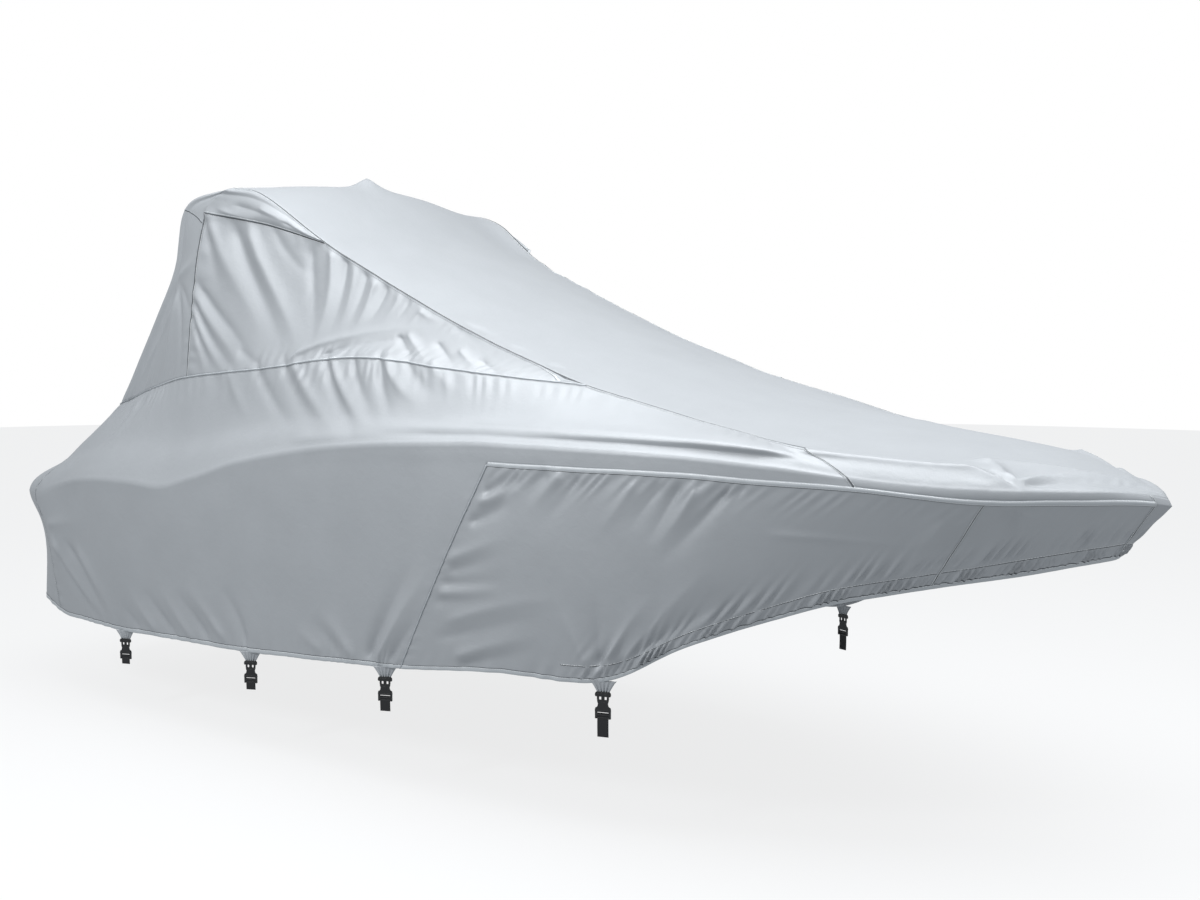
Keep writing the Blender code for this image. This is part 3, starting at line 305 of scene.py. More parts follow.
        ((4.72, 1.12), (4.63, 1.01), (4.52, 0.89), (0.020, 0.038), 0.009),
        ((4.83, 1.12), (4.75, 1.02), (4.66, 0.90), (0.020, 0.036), -0.010),
        ((4.92, 1.13), (4.84, 1.01), (4.75, 0.86), (0.018, 0.034), -0.012),
        ((4.99, 1.13), (4.91, 0.99), (4.78, 0.84), (0.018, 0.034), 0.012),
        ((5.13, 1.13), (5.00, 0.98), (4.81, 0.79), (0.018, 0.038), -0.017),
        ((5.19, 1.13), (5.15, 1.07), (5.10, 1.01), (0.015, 0.025), -0.008),
        # the fore skirt: the wave over the hem and the fan of the fourth strap
        ((3.66, 0.17), (3.83, 0.23), (4.10, 0.31), (0.020, 0.038), -0.015),
        ((3.63, 0.21), (3.85, 0.29), (4.14, 0.38), (0.024, 0.042), 0.014),
        ((4.40, 0.24), (4.35, 0.39), (4.28, 0.52), (0.018, 0.040), 0.012),
        ((4.45, 0.24), (4.46, 0.40), (4.47, 0.58), (0.018, 0.040), -0.013),
        ((4.48, 0.23), (4.57, 0.41), (4.72, 0.60), (0.016, 0.040), 0.016),
        ((4.51, 0.25), (4.64, 0.41), (4.83, 0.60), (0.016, 0.038), -0.016),
        ((4.54, 0.28), (4.70, 0.46), (4.98, 0.74), (0.016, 0.042), 0.018),
        ((4.56, 0.30), (4.76, 0.46), (5.02, 0.65), (0.016, 0.036), -0.013),
        ((4.65, 0.36), (4.88, 0.52), (5.18, 0.68), (0.018, 0.030), -0.010),
        # the bow skirt
        ((6.09, 1.05), (6.06, 0.95), (6.02, 0.84), (0.020, 0.028), -0.014),
        ((6.12, 1.05), (6.11, 0.95), (6.10, 0.83), (0.020, 0.028), 0.010),
        ((6.26, 0.97), (6.21, 0.88), (6.16, 0.79), (0.016, 0.024), 0.011),
        ((6.28, 0.97), (6.24, 0.87), (6.20, 0.78), (0.014, 0.020), -0.011),
        ((6.41, 1.01), (6.35, 0.92), (6.29, 0.83), (0.016, 0.020), 0.008),
        ((5.21, 0.92), (5.52, 0.91), (5.77, 0.88), (0.016, 0.016), 0.006),
        ((5.94, 0.98), (5.83, 0.86), (5.69, 0.76), (0.024, 0.040), -0.013),
        ((5.89, 1.00), (5.79, 0.89), (5.66, 0.77), (0.020, 0.036), 0.009),
        ((6.01, 1.00), (5.95, 0.89), (5.88, 0.80), (0.020, 0.026), -0.008),
    ),
    "end": (
        # the tower's back: folds to the foot
        ((0.20, 2.40), (0.18, 1.95), (0.14, 1.50), (0.050, 0.080), -0.018),
        ((0.48, 2.42), (0.48, 1.95), (0.46, 1.44), (0.050, 0.090), 0.018),
        ((0.60, 2.40), (0.58, 1.95), (0.53, 1.50), (0.030, 0.050), -0.010),
        ((0.72, 2.38), (0.68, 1.95), (0.62, 1.50), (0.040, 0.070), -0.018),
        ((0.05, 2.38), (0.04, 2.00), (0.02, 1.50), (0.040, 0.080), 0.010),
        # the stern
        ((0.34, 1.24), (0.37, 1.08), (0.42, 0.90), (0.040, 0.070), -0.012),
        ((0.66, 1.24), (0.72, 1.08), (0.80, 0.90), (0.040, 0.070), 0.012),
        ((1.00, 0.52), (0.84, 0.30), (0.62, 0.12), (0.035, 0.100), 0.018),
        ((1.00, 0.54), (0.92, 0.28), (0.84, 0.10), (0.030, 0.070), -0.012),
        ((1.00, 0.56), (0.68, 0.50), (0.34, 0.40), (0.035, 0.100), -0.016),
        ((0.00, 0.50), (0.01, 0.30), (0.02, 0.10), (0.070, 0.110), -0.010),
    ),
    "plan": (
        # tucks along the top panel's edge
        ((3.36, 0.81), (3.46, 0.79), (3.59, 0.81), (0.020, 0.026), -0.010),
        ((3.65, 0.81), (3.71, 0.80), (3.77, 0.81), (0.020, 0.022), -0.009),
        ((3.90, 0.82), (3.96, 0.80), (4.02, 0.79), (0.020, 0.022), -0.008),
        # the fore deck: folds drawn out from the pinch, and what lies under the cloth
        ((5.86, 0.58), (6.09, 0.29), (6.35, 0.00), (0.024, 0.022), 0.014),
        ((6.02, 0.58), (6.13, 0.34), (6.28, 0.08), (0.034, 0.038), -0.024),
        ((6.09, 0.58), (6.00, 0.58), (5.90, 0.64), (0.016, 0.030), -0.020),
        ((6.10, 0.57), (5.98, 0.63), (5.84, 0.70), (0.015, 0.024), 0.014),
        ((6.10, 0.58), (6.13, 0.46), (6.20, 0.30), (0.016, 0.034), 0.020),
        ((6.09, 0.58), (6.18, 0.42), (6.32, 0.14), (0.015, 0.030), -0.016),
        ((6.09, 0.57), (6.03, 0.52), (5.92, 0.47), (0.016, 0.030), 0.016),
        ((5.88, 0.79), (6.00, 0.69), (6.12, 0.58), (0.018, 0.018), 0.010),
    ),
}
FOLD_GAIN = 1.35  # every fold's height is drawn this much larger
FOLD_REACH = 3.0  # a fold is felt over this many of its half widths
FOLD_FADE = 0.92  # a fold's end stands this share less than its start
FOLD_LEAD = 0.22  # and it rises over this share of its length
FOLD_CREST = 1.5  # 2 is a rounded fold, 1 a creased one
FOLD_STEPS = 6  # straight runs that a fold's curved line is measured by

# Where the cloth stands higher or lies lower on one side: a smooth rise about a point of the plan.
# sign     about: x, out   reach: x, out   rise
SWELLS = (
    (1.0, (2.20, 0.95), (0.25, 0.14), 0.085),
    (1.0, (1.80, 0.80), (0.40, 0.35), -0.035),
    (1.0, (5.45, 0.95), (0.75, 0.45), -0.062),
)
SWELL_LOW = 0.70  # swells leave the cloth below this height alone
SWELL_HIGH = 1.05  # and act in full above this one
PORT_SHIFT = 0.045  # the port side's folds lie this far forward of the starboard side's
PORT_LOSS = 0.15  # and stand out this share less
MIDDLE = 0.30  # the two sides' folds blend over this width at the middle
END_LIMIT = 1.60  # end folds stay aft of this x
END_FADE = 0.30  # and die away over this length
EDGE_CALM = 0.045  # side folds die away this close to the top panel's edge, which its seam holds straight
CALM_END = 3.888  # forward of this x they don't need to
PLAN_LOW = 0.95  # plan folds stay above this height
PLAN_FADE = 0.10  # and reach their full height this much higher
PLAN_INSET = 0.03  # and reach their full height this far inside the gunwale's edge
POLE_HEIGHT = 0.070  # the mast light's head lifts the cloth into a small peak
POLE_REACH = 0.070  # which falls away over this length
POLE_ROUND = 0.024  # and is rounded over this radius
POLE_X = 1.80

STATIONS = [row[0] for row in SKIRT]
SIDES = (("stbd", -1.0), ("port", 1.0))

# Strap sets, hung from the hem on both sides: number, hem point x, out and up, turn aft in degrees, and the
# webbing's tail.
STRAPS = (
    (1, 0.945, 1.172, -0.012, 22.0, 0.030),
    (2, 2.150, 1.202, 0.034, 26.0, 0.036),
    (3, 3.190, 1.202, 0.104, 24.0, 0.050),
    (4, 4.461, 1.100, 0.209, 18.0, 0.082),
)
TAB_TOP = 0.128  # the tab's width where it is sewn to the hem
TAB_FOOT = 0.060  # and where it enters the buckle
TAB_DROP = 0.042
TAB_RISE = 0.008  # the tab is sewn this far up behind the hem
TAB_PLEATS = 5.0
PLEAT = (0.0012, 0.0042)  # height of the pleats at the tab's top and foot
TAB_FOLD = 0.0022  # height of the folded edge down each side of the tab
BUCKLE_WIDTH = 0.074
BUCKLE_THICK = 0.011
BUCKLE_EASE = 0.0012  # the moulding's rounded edges
PRONG_HEIGHT = 0.036  # the part of the upper half that stands out of the lower one
BODY_HEIGHT = 0.084
WEBBING_WIDTH = 0.052
WEBBING_THICK = 0.0022
WEBBING_INSIDE = 0.026  # length of the tail inside the buckle
WEBBING_BOW = 0.0015  # how far the tail curves out
CLEAR = 0.0004  # between two pieces of one strap set
DROP_CLEAR = 0.003  # a strap set hangs from this far under the hem's edge

GATHER_PITCH = (0.042, 0.028)  # spacing of the elastic's gathers at the fourth strap and at the stem
GATHER_LEAD = 0.20  # the elastic starts this far aft of the fourth strap
GATHER_SLANT = 7.0  # gathers leant back, as turns for each metre of height
GATHER_LINE = 0.090  # the elastic's stitching is this far above the hem
GATHER_TAIL = (1.7, 0.050, 0.55)  # pucker of the gathers over that stitching, of one turn and a height of 1
CREST_CREASE = 0.008  # how far the fore deck's crest stands out through the cloth
CREST_WIDTH = 0.022
RAIL_FIRM = 0.95  # the gunwale's edge holds the cloth straight over this share of the rows beside it
RAIL_CREASE = (0.003, 0.004)  # how far the gunwale's edge stands out through the cloth, aft and forward
RAIL_WIDTH = 0.028
HEM_STILL = 0.015  # the gathers stop this far above the hem's edge
HEM_RIPPLE = (0.0030, 0.08, 0.105)  # height, reach above the hem and spacing of its ripple aft of the elastic
CHEEK_BAG = 0.022  # how far the cheek bags out

# Puckers that stitching draws in the cloth beside it: spacing, how far off they are highest, and that height.
FOOT_PUCKERS = (0.090, 0.050, 0.0042)
STITCHING_PUCKERS = (0.062, 0.045, 0.0045)
CORNER_PUCKERS = (0.070, 0.032, 0.0035)
UPRIGHT_PUCKERS = {
    "skirt_seam": (0.060, 0.026, 0.0028),
    "dart": (0.060, 0.026, 0.0020),
    "nose_seam": (0.060, 0.026, 0.0015),
}
TOWER_FOOT_PUCKERS = (0.080, 0.040, 0.0034)
TOWER_EDGE_PUCKERS = (0.080, 0.030, 0.0016)
TOWER_CORNER_PUCKERS = (0.085, 0.030, 0.0024)
BACK_FOOT_PUCKERS = (0.080, 0.035, 0.0024)
LIP_PUCKERS = (0.110, 0.025, 0.0012)
TOP_PUCKERS = (0.085, 0.035, 0.0016)
BACK_ROW = 0.40  # about how far apart the tower back's rows are
CORNER_ROW = 0.45  # and how far apart they are at its corner seam

WAVE_SIZE = 0.28  # the cloth's soft unevenness: size of the waves
CRINKLE_SIZE = 0.045  # and of the small crinkles
WAVE_SEED = 1  # without it the waves would differ from run to run
FINE = 0.002  # step by which a surface's slope is read
PROBE = 0.04  # step by which a seam's own distance is measured
SEWN = 0.00005  # points this close are one

SEAM_PITCH = 0.010  # cell along a seam
SEAM_THICK = 0.0009
PORT_CELL = 1.15  # the port side's folds are softer, so its cells are larger

STITCH_STEP = 0.0065  # half the spacing of the stitches, as drawn
STITCH_GAP = 0.0012  # half the space between two of them
THREAD_HALF = 0.0009  # half the width of the thread

CLOTH_HEX = "#9EA2A6"
SKIRT_HEX = "#A0A4A8"
SEAM_HEX = "#94999D"
HEM_HEX = "#ABB0B4"
# Painted shadow: the dark line where a seam's edges lap, in place of the shade in its step
LAP_SHADOW_HEX = "#4A4E52"
THREAD_HEX = "#DDE0E2"
ACETAL_HEX = "#17181A"
WEBBING_HEX = "#1B1C1E"
FLOOR_HEX = "#626466"
FLOOR_GLOW = 0.80
GLOW_HEX = "#F4F8FC"
FLOOR_RADIUS = 30.0

# The lights: size, place, and the point that each is aimed at.
OVERHEAD = ((9.0, 4.4), (3.7, -0.6, 3.2), (3.5, -0.2, -1.4))
ABEAM = ((1.8, 1.8), (0.2, -7.5, 2.8), (1.6, -0.6, -1.2))

LENS = 41.73  # mm
SENSOR = 36.0  # mm
CAMERA_PLACE = (6.34, -5.83, -0.96)
CAMERA_TURN = (85.48, 0.0, 38.0)  # degrees


def hermite(start, end, slope_0, slope_1, span, u):
    """A cubic from start to end with the given slopes, read at the share u of its span."""
    return (
        (2 * u**3 - 3 * u**2 + 1) * start
        + (u**3 - 2 * u**2 + u) * span * slope_0
        + (3 * u**2 - 2 * u**3) * end
        + (u**3 - u**2) * span * slope_1
    )


def slopes_along(values, steps):
    """The slopes at a row of points, on the row's own axis 1."""
    chords = np.diff(values, axis=1) / steps
    slopes = np.empty_like(values)
    slopes[:, 0] = chords[:, 0]
    slopes[:, -1] = chords[:, -1]
    before = steps[:, :-1]
    after = steps[:, 1:]
    slopes[:, 1:-1] = (chords[:, :-1] * after + chords[:, 1:] * before) / (before + after)
    return slopes


def through_rows(rows, down):
    """A smooth curve through each point's own row of points. down counts the rows passed."""
    steps = np.linalg.norm(np.diff(rows, axis=1), axis=2, keepdims=True) + 1e-6
    slopes = slopes_along(rows, steps)
    first = np.clip(down.astype(int), 0, rows.shape[1] - 2)
    own = np.arange(len(rows))
    share = (down - first)[:, None]
    return hermite(rows[own, first], rows[own, first + 1], slopes[own, first], slopes[own, first + 1],
                   steps[own, first], share)


def column(table, place):
    """One column of a table of offsets."""
    return np.array([row[place] for row in table], float)


def lengths(vectors):
    """The length of each vector in a list."""
    return np.linalg.norm(vectors, axis=1)


RAIL = column(SKIRT, 1)
GIRTH = np.concatenate([[0.0], np.cumsum(lengths(np.diff(RAIL, axis=0)))])
MARK = dict(zip(STATIONS, GIRTH))  # each station's distance round the gunwale


class Line:
    """One seam or form line of the cover, read at any distance round the gunwale."""

    def __init__(self, table, place):
        self.knots = np.array([MARK[row[0]] for row in table])
        self.points = column(table, place)
        self.slopes = slopes_along(self.points[None], np.diff(self.knots)[None, :, None])[0]

    def __call__(self, at):
        at = np.clip(at, self.knots[0], self.knots[-1])
        first = np.clip(np.searchsorted(self.knots, at, side="right") - 1, 0, len(self.knots) - 2)
        span = (self.knots[first + 1] - self.knots[first])[:, None]
        share = (at - self.knots[first])[:, None] / span
        return hermite(self.points[first], self.points[first + 1], self.slopes[first], self.slopes[first + 1],
                       span, share)


rail_line = Line(SKIRT, 1)
seam_line = Line(SKIRT, 2)
hem_line = Line(SKIRT, 3)
foot_line = Line(FOOT, 1)
side_line = Line(SLOPE, 1)
brow_line = Line(TOWER_AFT, 1)
lip_line = Line(TOWER_AFT, 2)
edge_line = Line(TOP, 1)
crown_line = Line(TOP, 2)
eave_line = Line(EAVE, 1)


def smooth(share):
    """0 to 1 with a soft start and end."""
    share = np.clip(share, 0.0, 1.0)
    return share * share * (3.0 - 2.0 * share)


def past(along, station, over, lead=0.0):
    """0 up to a station of the gunwale, or to lead metres aft of it, and then rising to 1 over a length."""
    return smooth((along - MARK[station] + lead) / over)


def slope_top(along):
    """Where the slope starts: the foot seam and, forward of the tower's tip, the top panel's edge."""
    return np.where((along < MARK["tower_tip"])[:, None], foot_line(along), edge_line(along))


def tower_top(along):
    """Where the tower's side starts: the eave and, forward of the cheek, the top panel's edge."""
    return np.where((along < MARK["strap_2"])[:, None], eave_line(along), edge_line(along))


def tower_share(down):
    """How far down the tower's side a row is, as a share of the whole."""
    return np.interp(down, (0.0, 1.0, 2.0, 3.0, 4.0), (0.0, LIP_SHARE, CHEST_SHARE, BELLY_SHARE, 1.0))


def skirt_surface(along, down):
    """The cloth from the tower's foot to the hem. down runs 0 foot, 1 side, 2 rail, 3 seam, 4 hem.

    Forward of the skirt seam the cloth bends at the stitching and hangs almost straight below it. Along the
    hull's middle it bends sharply over the gunwale's edge.
    """
    rows = [slope_top(along)] + [line(along) for line in (side_line, rail_line, seam_line, hem_line)]
    rows = np.stack(rows, axis=1)
    own = np.arange(len(rows))
    first = np.clip(down.astype(int), 0, 3)
    straight = rows[own, first] + (rows[own, first + 1] - rows[own, first]) * (down - first)[:, None]
    firm = past(along, "corner_seam", 0.6) * (1.0 - past(along, "dart", 0.5))
    firm = (firm * smooth(1.0 - np.abs(down - 2.0) / RAIL_FIRM))[:, None]
    loose = through_rows(rows, down)
    loose += (straight - loose) * firm
    stitched = through_rows(rows[:, :4], np.minimum(down, 3.0))
    stitched += (straight - stitched) * firm
    fall = np.clip(down - 3.0, 0.0, 1.0)
    stitched += (rows[:, 4] - rows[:, 3]) * fall[:, None]
    stitched[:, 1] += BELLY * rows[:, 3, 1] * np.sin(np.pi * fall)
    share = past(along, "skirt_seam", STITCH_FADE, STITCH_FADE)[:, None]
    return loose + (stitched - loose) * share


def top_surface(along, across):
    """The top panel from its middle line, across 0, to its side seam, across 1."""
    edge = edge_line(along)
    crown = crown_line(along)
    arch = 1.0 - across**2
    x = edge[:, 0] + (crown[:, 0] - edge[:, 0]) * arch
    up = edge[:, 2] + (crown[:, 1] - edge[:, 2]) * arch
    points = np.stack([x, edge[:, 1] * across, up], axis=1)
    reach = np.hypot(np.hypot(x - POLE_X, points[:, 1]), POLE_ROUND) - POLE_ROUND
    points[:, 2] += POLE_HEIGHT * np.exp(-reach / POLE_REACH)
    return points


def top_row(along, off):
    """The top panel at a distance forward of its aft edge."""
    across = np.clip(along / MARK["corner_seam"], 0.0, 1.0)
    return top_surface(np.full(len(along), MARK["tower_seam"]) + off, across)


def aft_surface(along, down):
    """The tower's back. down runs 0 brow, 1 lip, 2 chest, 3 belly, 4 foot."""
    brow = np.where((along <= MARK["corner_seam"])[:, None], top_row(along, 0.0), brow_line(along))
    lip = lip_line(along)
    foot = foot_line(along)
    middle = smooth((MARK["tower_seam"] - along) / (MARK["tower_seam"] - MARK["corner_seam"]))
    rows = [brow, lip]
    for share, forward in ((CHEST_SHARE, CHEST_IN), (BELLY_SHARE, BELLY_IN)):
        row = lip + (foot - lip) * share
        row[:, 0] += forward * middle - SEAM_OUT * (1.0 - middle)
        rows.append(row)
    rows.append(foot)
    return through_rows(np.stack(rows, axis=1), down)


def cheek_surface(along, down):
    """The cheek at the tower's top, from the top panel's edge, down 0, to the eave, 1."""
    edge = edge_line(along)
    eave = eave_line(along)
    plain = edge + (eave - edge) * down[:, None]
    start = np.full(len(along), MARK["tower_seam"])
    straight = edge_line(start) + (eave_line(start) - edge_line(start)) * down[:, None]
    girth = MARK["corner_seam"] + down * (MARK["tower_seam"] - MARK["corner_seam"])
    fade = 1.0 - (along - start) / (MARK["strap_2"] - MARK["tower_seam"])
    return plain + (brow_line(girth) - straight) * (fade**2)[:, None]


def tower_surface(along, down):
    """The tower's side, from the eave and the top panel's edge, down 0, to the foot, 4."""
    share = tower_share(down)[:, None]
    upper = tower_top(along)
    foot = foot_line(along)
    points = upper + (foot - upper) * share
    sink = SAG * lengths(foot - upper) * np.sin(np.pi * share[:, 0])
    start = np.full(len(along), MARK["tower_seam"])
    corner = eave_line(start) + (foot_line(start) - eave_line(start)) * share
    near = smooth(1.0 - (along - start) / TOWER_CORNER)
    points[:, 1] -= sink * (1.0 - near)
    return points + (aft_surface(start, down) - corner) * near[:, None]


def mirrored(surface):
    """The surface for both sides: a negative distance along is the same place to starboard."""

    def both(along, down):
        points = surface(np.abs(along), down)
        points[:, 1] *= np.where(along < 0.0, -1.0, 1.0)
        return points

    return both


def nearest_on(across, up, stops):
    """Each point's distance from the curve through three stops, and its share of the way along."""
    start, way, end = (np.array(stop) for stop in stops)
    share = np.linspace(0.0, 1.0, FOLD_STEPS + 1)[:, None]
    bend = 2.0 * way - (start + end) / 2.0
    line = start * (1 - share) ** 2 + bend * 2 * share * (1 - share) + end * share**2
    best = np.full(len(across), np.inf)
    place = np.zeros(len(across))
    for step, (first, last) in enumerate(zip(line, line[1:])):
        run = last - first
        along = (across - first[0]) * run[0] + (up - first[1]) * run[1]
        along = np.clip(along / np.dot(run, run), 0.0, 1.0)
        away = np.hypot(across - first[0] - along * run[0], up - first[1] - along * run[1])
        place = np.where(away < best, (step + along) / FOLD_STEPS, place)
        best = np.minimum(best, away)
    return best, place


def fold_moves(points):
    """How far the folds move each point: out to its own side, aft, or up."""
    moves = np.zeros_like(points)
    x, y, up = points.T
    out = np.abs(y)
    port = smooth(y / MIDDLE + 0.5)
    shifted = x - PORT_SHIFT * port
    rail_out = np.interp(x, rail_line.points[3:, 0], rail_line.points[3:, 1])
    edge_up = np.interp(shifted, edge_line.points[:, 0], edge_line.points[:, 2])
    beside = 1.0 - smooth(np.abs(up - edge_up) / EDGE_CALM)
    beside *= 1.0 - smooth((shifted - CALM_END) / END_FADE)
    inside = smooth((up - PLAN_LOW) / PLAN_FADE) * smooth((rail_out - out) / PLAN_INSET)
    planes = {
        "side": (shifted, up, 1, np.sign(y) * smooth(out / MIDDLE) * (1.0 - beside)),
        "end": (out, up, 0, -smooth((END_LIMIT - x) / END_FADE)),
        "plan": (shifted, out, 2, inside),
    }
    for plane, (across, level, axis, share_here) in planes.items():
        for start, way, end, (width_0, width_1), height in FOLDS[plane]:
            reach = FOLD_REACH * max(width_0, width_1)
            low = np.minimum(np.minimum(start, way), end) - reach
            high = np.maximum(np.maximum(start, way), end) + reach
            near = (across > low[0]) & (across < high[0]) & (level > low[1]) & (level < high[1])
            away, share = nearest_on(across[near], level[near], (start, way, end))
            width = width_0 + (width_1 - width_0) * share
            rise = smooth(share / FOLD_LEAD) * (1.0 - FOLD_FADE * share**1.5)
            profile = FOLD_GAIN * height * rise * np.exp(-((away / width) ** FOLD_CREST))
            moves[near, axis] += profile * share_here[near]
    return moves * (1.0 - PORT_LOSS * port)[:, None]


def swell(points):
    """How far the cloth is raised at each point by what it lies over on that side only."""
    x, y, up = points.T
    rise = np.zeros(len(points))
    for sign, (mid_x, mid_out), (reach_x, reach_out), height in SWELLS:
        near = ((x - mid_x) / reach_x) ** 2 + ((y * sign - mid_out) / reach_out) ** 2
        rise += height * np.exp(-near)
    return rise * smooth((up - SWELL_LOW) / (SWELL_HIGH - SWELL_LOW))


def folded(points):
    """The same points on the cloth with its folds."""
    laid = points + fold_moves(points)
    laid[:, 2] += swell(points)
    return laid


def with_relief(surface, lift):
    """The surface with a fine relief raised square to it."""

    def relief(along, down):
        toward = surface(along + FINE, down) - surface(along - FINE, down)
        below = surface(along, down + FINE) - surface(along, down - FINE)
        square = np.cross(toward, below)
        square /= np.maximum(np.linalg.norm(square, axis=1, keepdims=True), 1e-12)
        return surface(along, down) + square * lift(along, down)[:, None]

    return relief


def uneven(travel, pitch):
    """A wave whose size and spacing wander, as gathers do."""
    turns = 2.0 * np.pi * travel / pitch
    wander = 1.6 * np.sin(turns / 5.3) + 0.8 * np.sin(turns / 2.3)
    return np.sin(turns + wander) * (0.68 + 0.32 * np.sin(turns / 7.9))


def crested(wave):
    """The wave with its crests drawn narrow and its hollows wide."""
    return np.exp(1.4 * wave) / 2.2 - 0.55


def puckers(away, travel, pitch, reach, height):
    """The puckers that stitching draws beside it: none at the seam, most at reach."""
    share = away / reach
    return height * uneven(travel, pitch) * share**2 * np.exp(2.0 * (1.0 - share))


def crest_lift(along, away):
    """The fore deck's crest stands out through the cloth, on both sides of the top panel's edge."""
    crest = past(along, "shoulder", 0.25) * (1.0 - past(along, "dart", 0.25))
    return CREST_CREASE * crest * np.exp(-away / CREST_WIDTH)


def rail_lift(along, away):
    """The gunwale's edge stands out through the cloth."""
    aft, forward = RAIL_CREASE
    firm = (aft + (forward - aft) * past(along, "strap_2", 0.8)) * (1.0 - past(along, "dart", 0.3))
    return firm * np.exp(-away / RAIL_WIDTH)


def hem_lift(along, down, above_hem):
    """The elastic's gathers along the forward hem, and a slight ripple aft of them."""
    aft_pitch, fore_pitch = GATHER_PITCH
    run = MARK["stem"] - MARK["strap_4"]
    gain = (fore_pitch - aft_pitch) / run
    ahead = np.maximum(along - MARK["strap_4"] + GATHER_LEAD, 0.0)
    turns = np.log1p(ahead * gain / aft_pitch) / gain - above_hem * GATHER_SLANT
    band = np.sin(np.pi * np.clip((above_hem - HEM_STILL) / (GATHER_LINE - HEM_STILL), 0.0, 1.0)) ** 0.8
    gathers = band * crested(uneven(turns, 1.0))
    gathers += puckers(np.maximum(above_hem - GATHER_LINE, 0.0), turns, *GATHER_TAIL)
    size = (aft_pitch + gain * ahead) / aft_pitch * smooth((down - 3.0) / 0.3)
    elastic = past(along, "strap_4", GATHER_LEAD, GATHER_LEAD)
    height, reach, pitch = HEM_RIPPLE
    ripple = height * np.exp(-((above_hem / reach) ** 2)) * uneven(along, pitch)
    gather_height = bpy.context.scene.cover_shape.gather_height
    return elastic * size * gather_height * gathers + (1.0 - elastic) * ripple


def skirt_relief(along, down):
    """Puckers of the foot seam, the gunwale stitching and the upright seams, the firm edges and the hem."""
    slope = lengths(side_line(along) - slope_top(along))
    shoulder = lengths(rail_line(along) - side_line(along))
    collar = lengths(seam_line(along) - rail_line(along))
    fall = lengths(hem_line(along) - seam_line(along))
    above_hem = (4.0 - down) * fall
    sewn_above = 1.0 - past(along, "bow_seam", 0.20, 0.20)
    lift = sewn_above * puckers(down * slope, along, *FOOT_PUCKERS)
    stitched = past(along, "skirt_seam", 0.10) * (1.0 - 0.75 * past(along, "strap_4", 0.5, -0.35))
    stitched *= np.where(down > 3.0, 1.0, 0.30 * smooth(down - 2.0))
    away = np.where(down > 3.0, (down - 3.0) * fall, (3.0 - down) * collar)
    lift += stitched * puckers(away, along + 0.5 * away, *STITCHING_PUCKERS)
    for station, sizes in UPRIGHT_PUCKERS.items():
        lift += smooth(down - 2.6) * puckers(np.abs(along - MARK[station]), above_hem, *sizes)
    lift += puckers(np.abs(along - MARK["corner_seam"]), above_hem, *CORNER_PUCKERS)
    lift += rail_lift(along, np.where(down < 2.0, (2.0 - down) * shoulder, (down - 2.0) * collar))
    lift += crest_lift(along, down * slope)
    return lift + hem_lift(along, down, above_hem)


def tower_relief(along, down):
    """Puckers of the foot seam, the upper edge and the corner seam."""
    height = lengths(foot_line(along) - tower_top(along))
    share = tower_share(down)
    lift = puckers((1.0 - share) * height, along, *TOWER_FOOT_PUCKERS)
    lift += puckers(share * height, along, *TOWER_EDGE_PUCKERS)
    return lift + puckers(np.abs(along - MARK["tower_seam"]), share * height, *TOWER_CORNER_PUCKERS)


def aft_relief(along, down):
    """Puckers of the corner seam, the foot seam and the lip's stitching."""
    lift = puckers(np.abs(MARK["tower_seam"] - along), down * CORNER_ROW, *TOWER_CORNER_PUCKERS)
    lift += puckers(np.abs(4.0 - down) * BACK_ROW, along, *BACK_FOOT_PUCKERS)
    return lift + puckers(np.abs(down - 1.0) * BACK_ROW, along, *LIP_PUCKERS)


def top_relief(along, across):
    """Puckers of the side seam, and the fore deck's crest."""
    inward = (1.0 - across) * edge_line(along)[:, 1]
    return puckers(inward, along, *TOP_PUCKERS) + crest_lift(along, inward)


def cheek_relief(along, down):
    """The cheek bags out over its lower seam."""
    return CHEEK_BAG * np.sin(np.pi * np.clip(down, 0.0, 1.0) ** 1.7) * past(along, "tower_seam", 0.35)


top_cloth = with_relief(top_surface, top_relief)
skirt_cloth = with_relief(skirt_surface, skirt_relief)
tower_cloth = with_relief(tower_surface, tower_relief)
back_cloth = with_relief(aft_surface, aft_relief)
cheek_cloth = with_relief(cheek_surface, cheek_relief)


def bow_cloth(along, down):
    """The top panel forward of its side seam: down -1 is the middle line, 0 the crest, then as the skirt."""
    inner = top_cloth(along, np.clip(down + 1.0, 0.0, 1.0))
    outer = skirt_cloth(along, np.clip(down, 0.0, 4.0))
    return np.where((down <= 0.0)[:, None], inner, outer)


def dressed(points):
    """The same points with the folds and the cloth's soft unevenness, in the model's frame."""
    laid = folded(points)
    shape = bpy.context.scene.cover_shape
    noise.seed_set(WAVE_SEED)
    for size, height in ((WAVE_SIZE, shape.wave_height), (CRINKLE_SIZE, shape.crinkle_height)):
        laid += height * np.array([noise.noise_vector(Vector(point) / size) for point in points])
    return laid - np.array(ORIGIN)


# ----------------------------------------------------------------------------------------------------
# Meshes
# ----------------------------------------------------------------------------------------------------


def cloth_of(part):
    """The material of one part of the cover's sewing."""
    return bpy.data.materials[f"cloth_{part}"]


def add_object(name, mesh, material):
    """An object of the mesh, which rides on the cover's one body."""
    mesh.materials.clear()
    mesh.materials.append(material)
    mesh.shade_smooth()
    obj = bpy.data.objects.new(name, mesh)
    bpy.context.scene.collection.objects.link(obj)
    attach(obj, "root")
    return obj


def mesh_of(bm, name):
    """A finished bmesh as a mesh."""
    mesh = bpy.data.meshes.new(name)
    bm.to_mesh(mesh)
    bm.free()
    return mesh


def write_uvs(mesh, uvs):
    """Gives the mesh a UV map with one place for each of its points."""
    corners = np.empty(len(mesh.loops), int)
    mesh.loops.foreach_get("vertex_index", corners)
    mesh.uv_layers.new(name="UVMap").data.foreach_set("uv", uvs[corners].ravel())


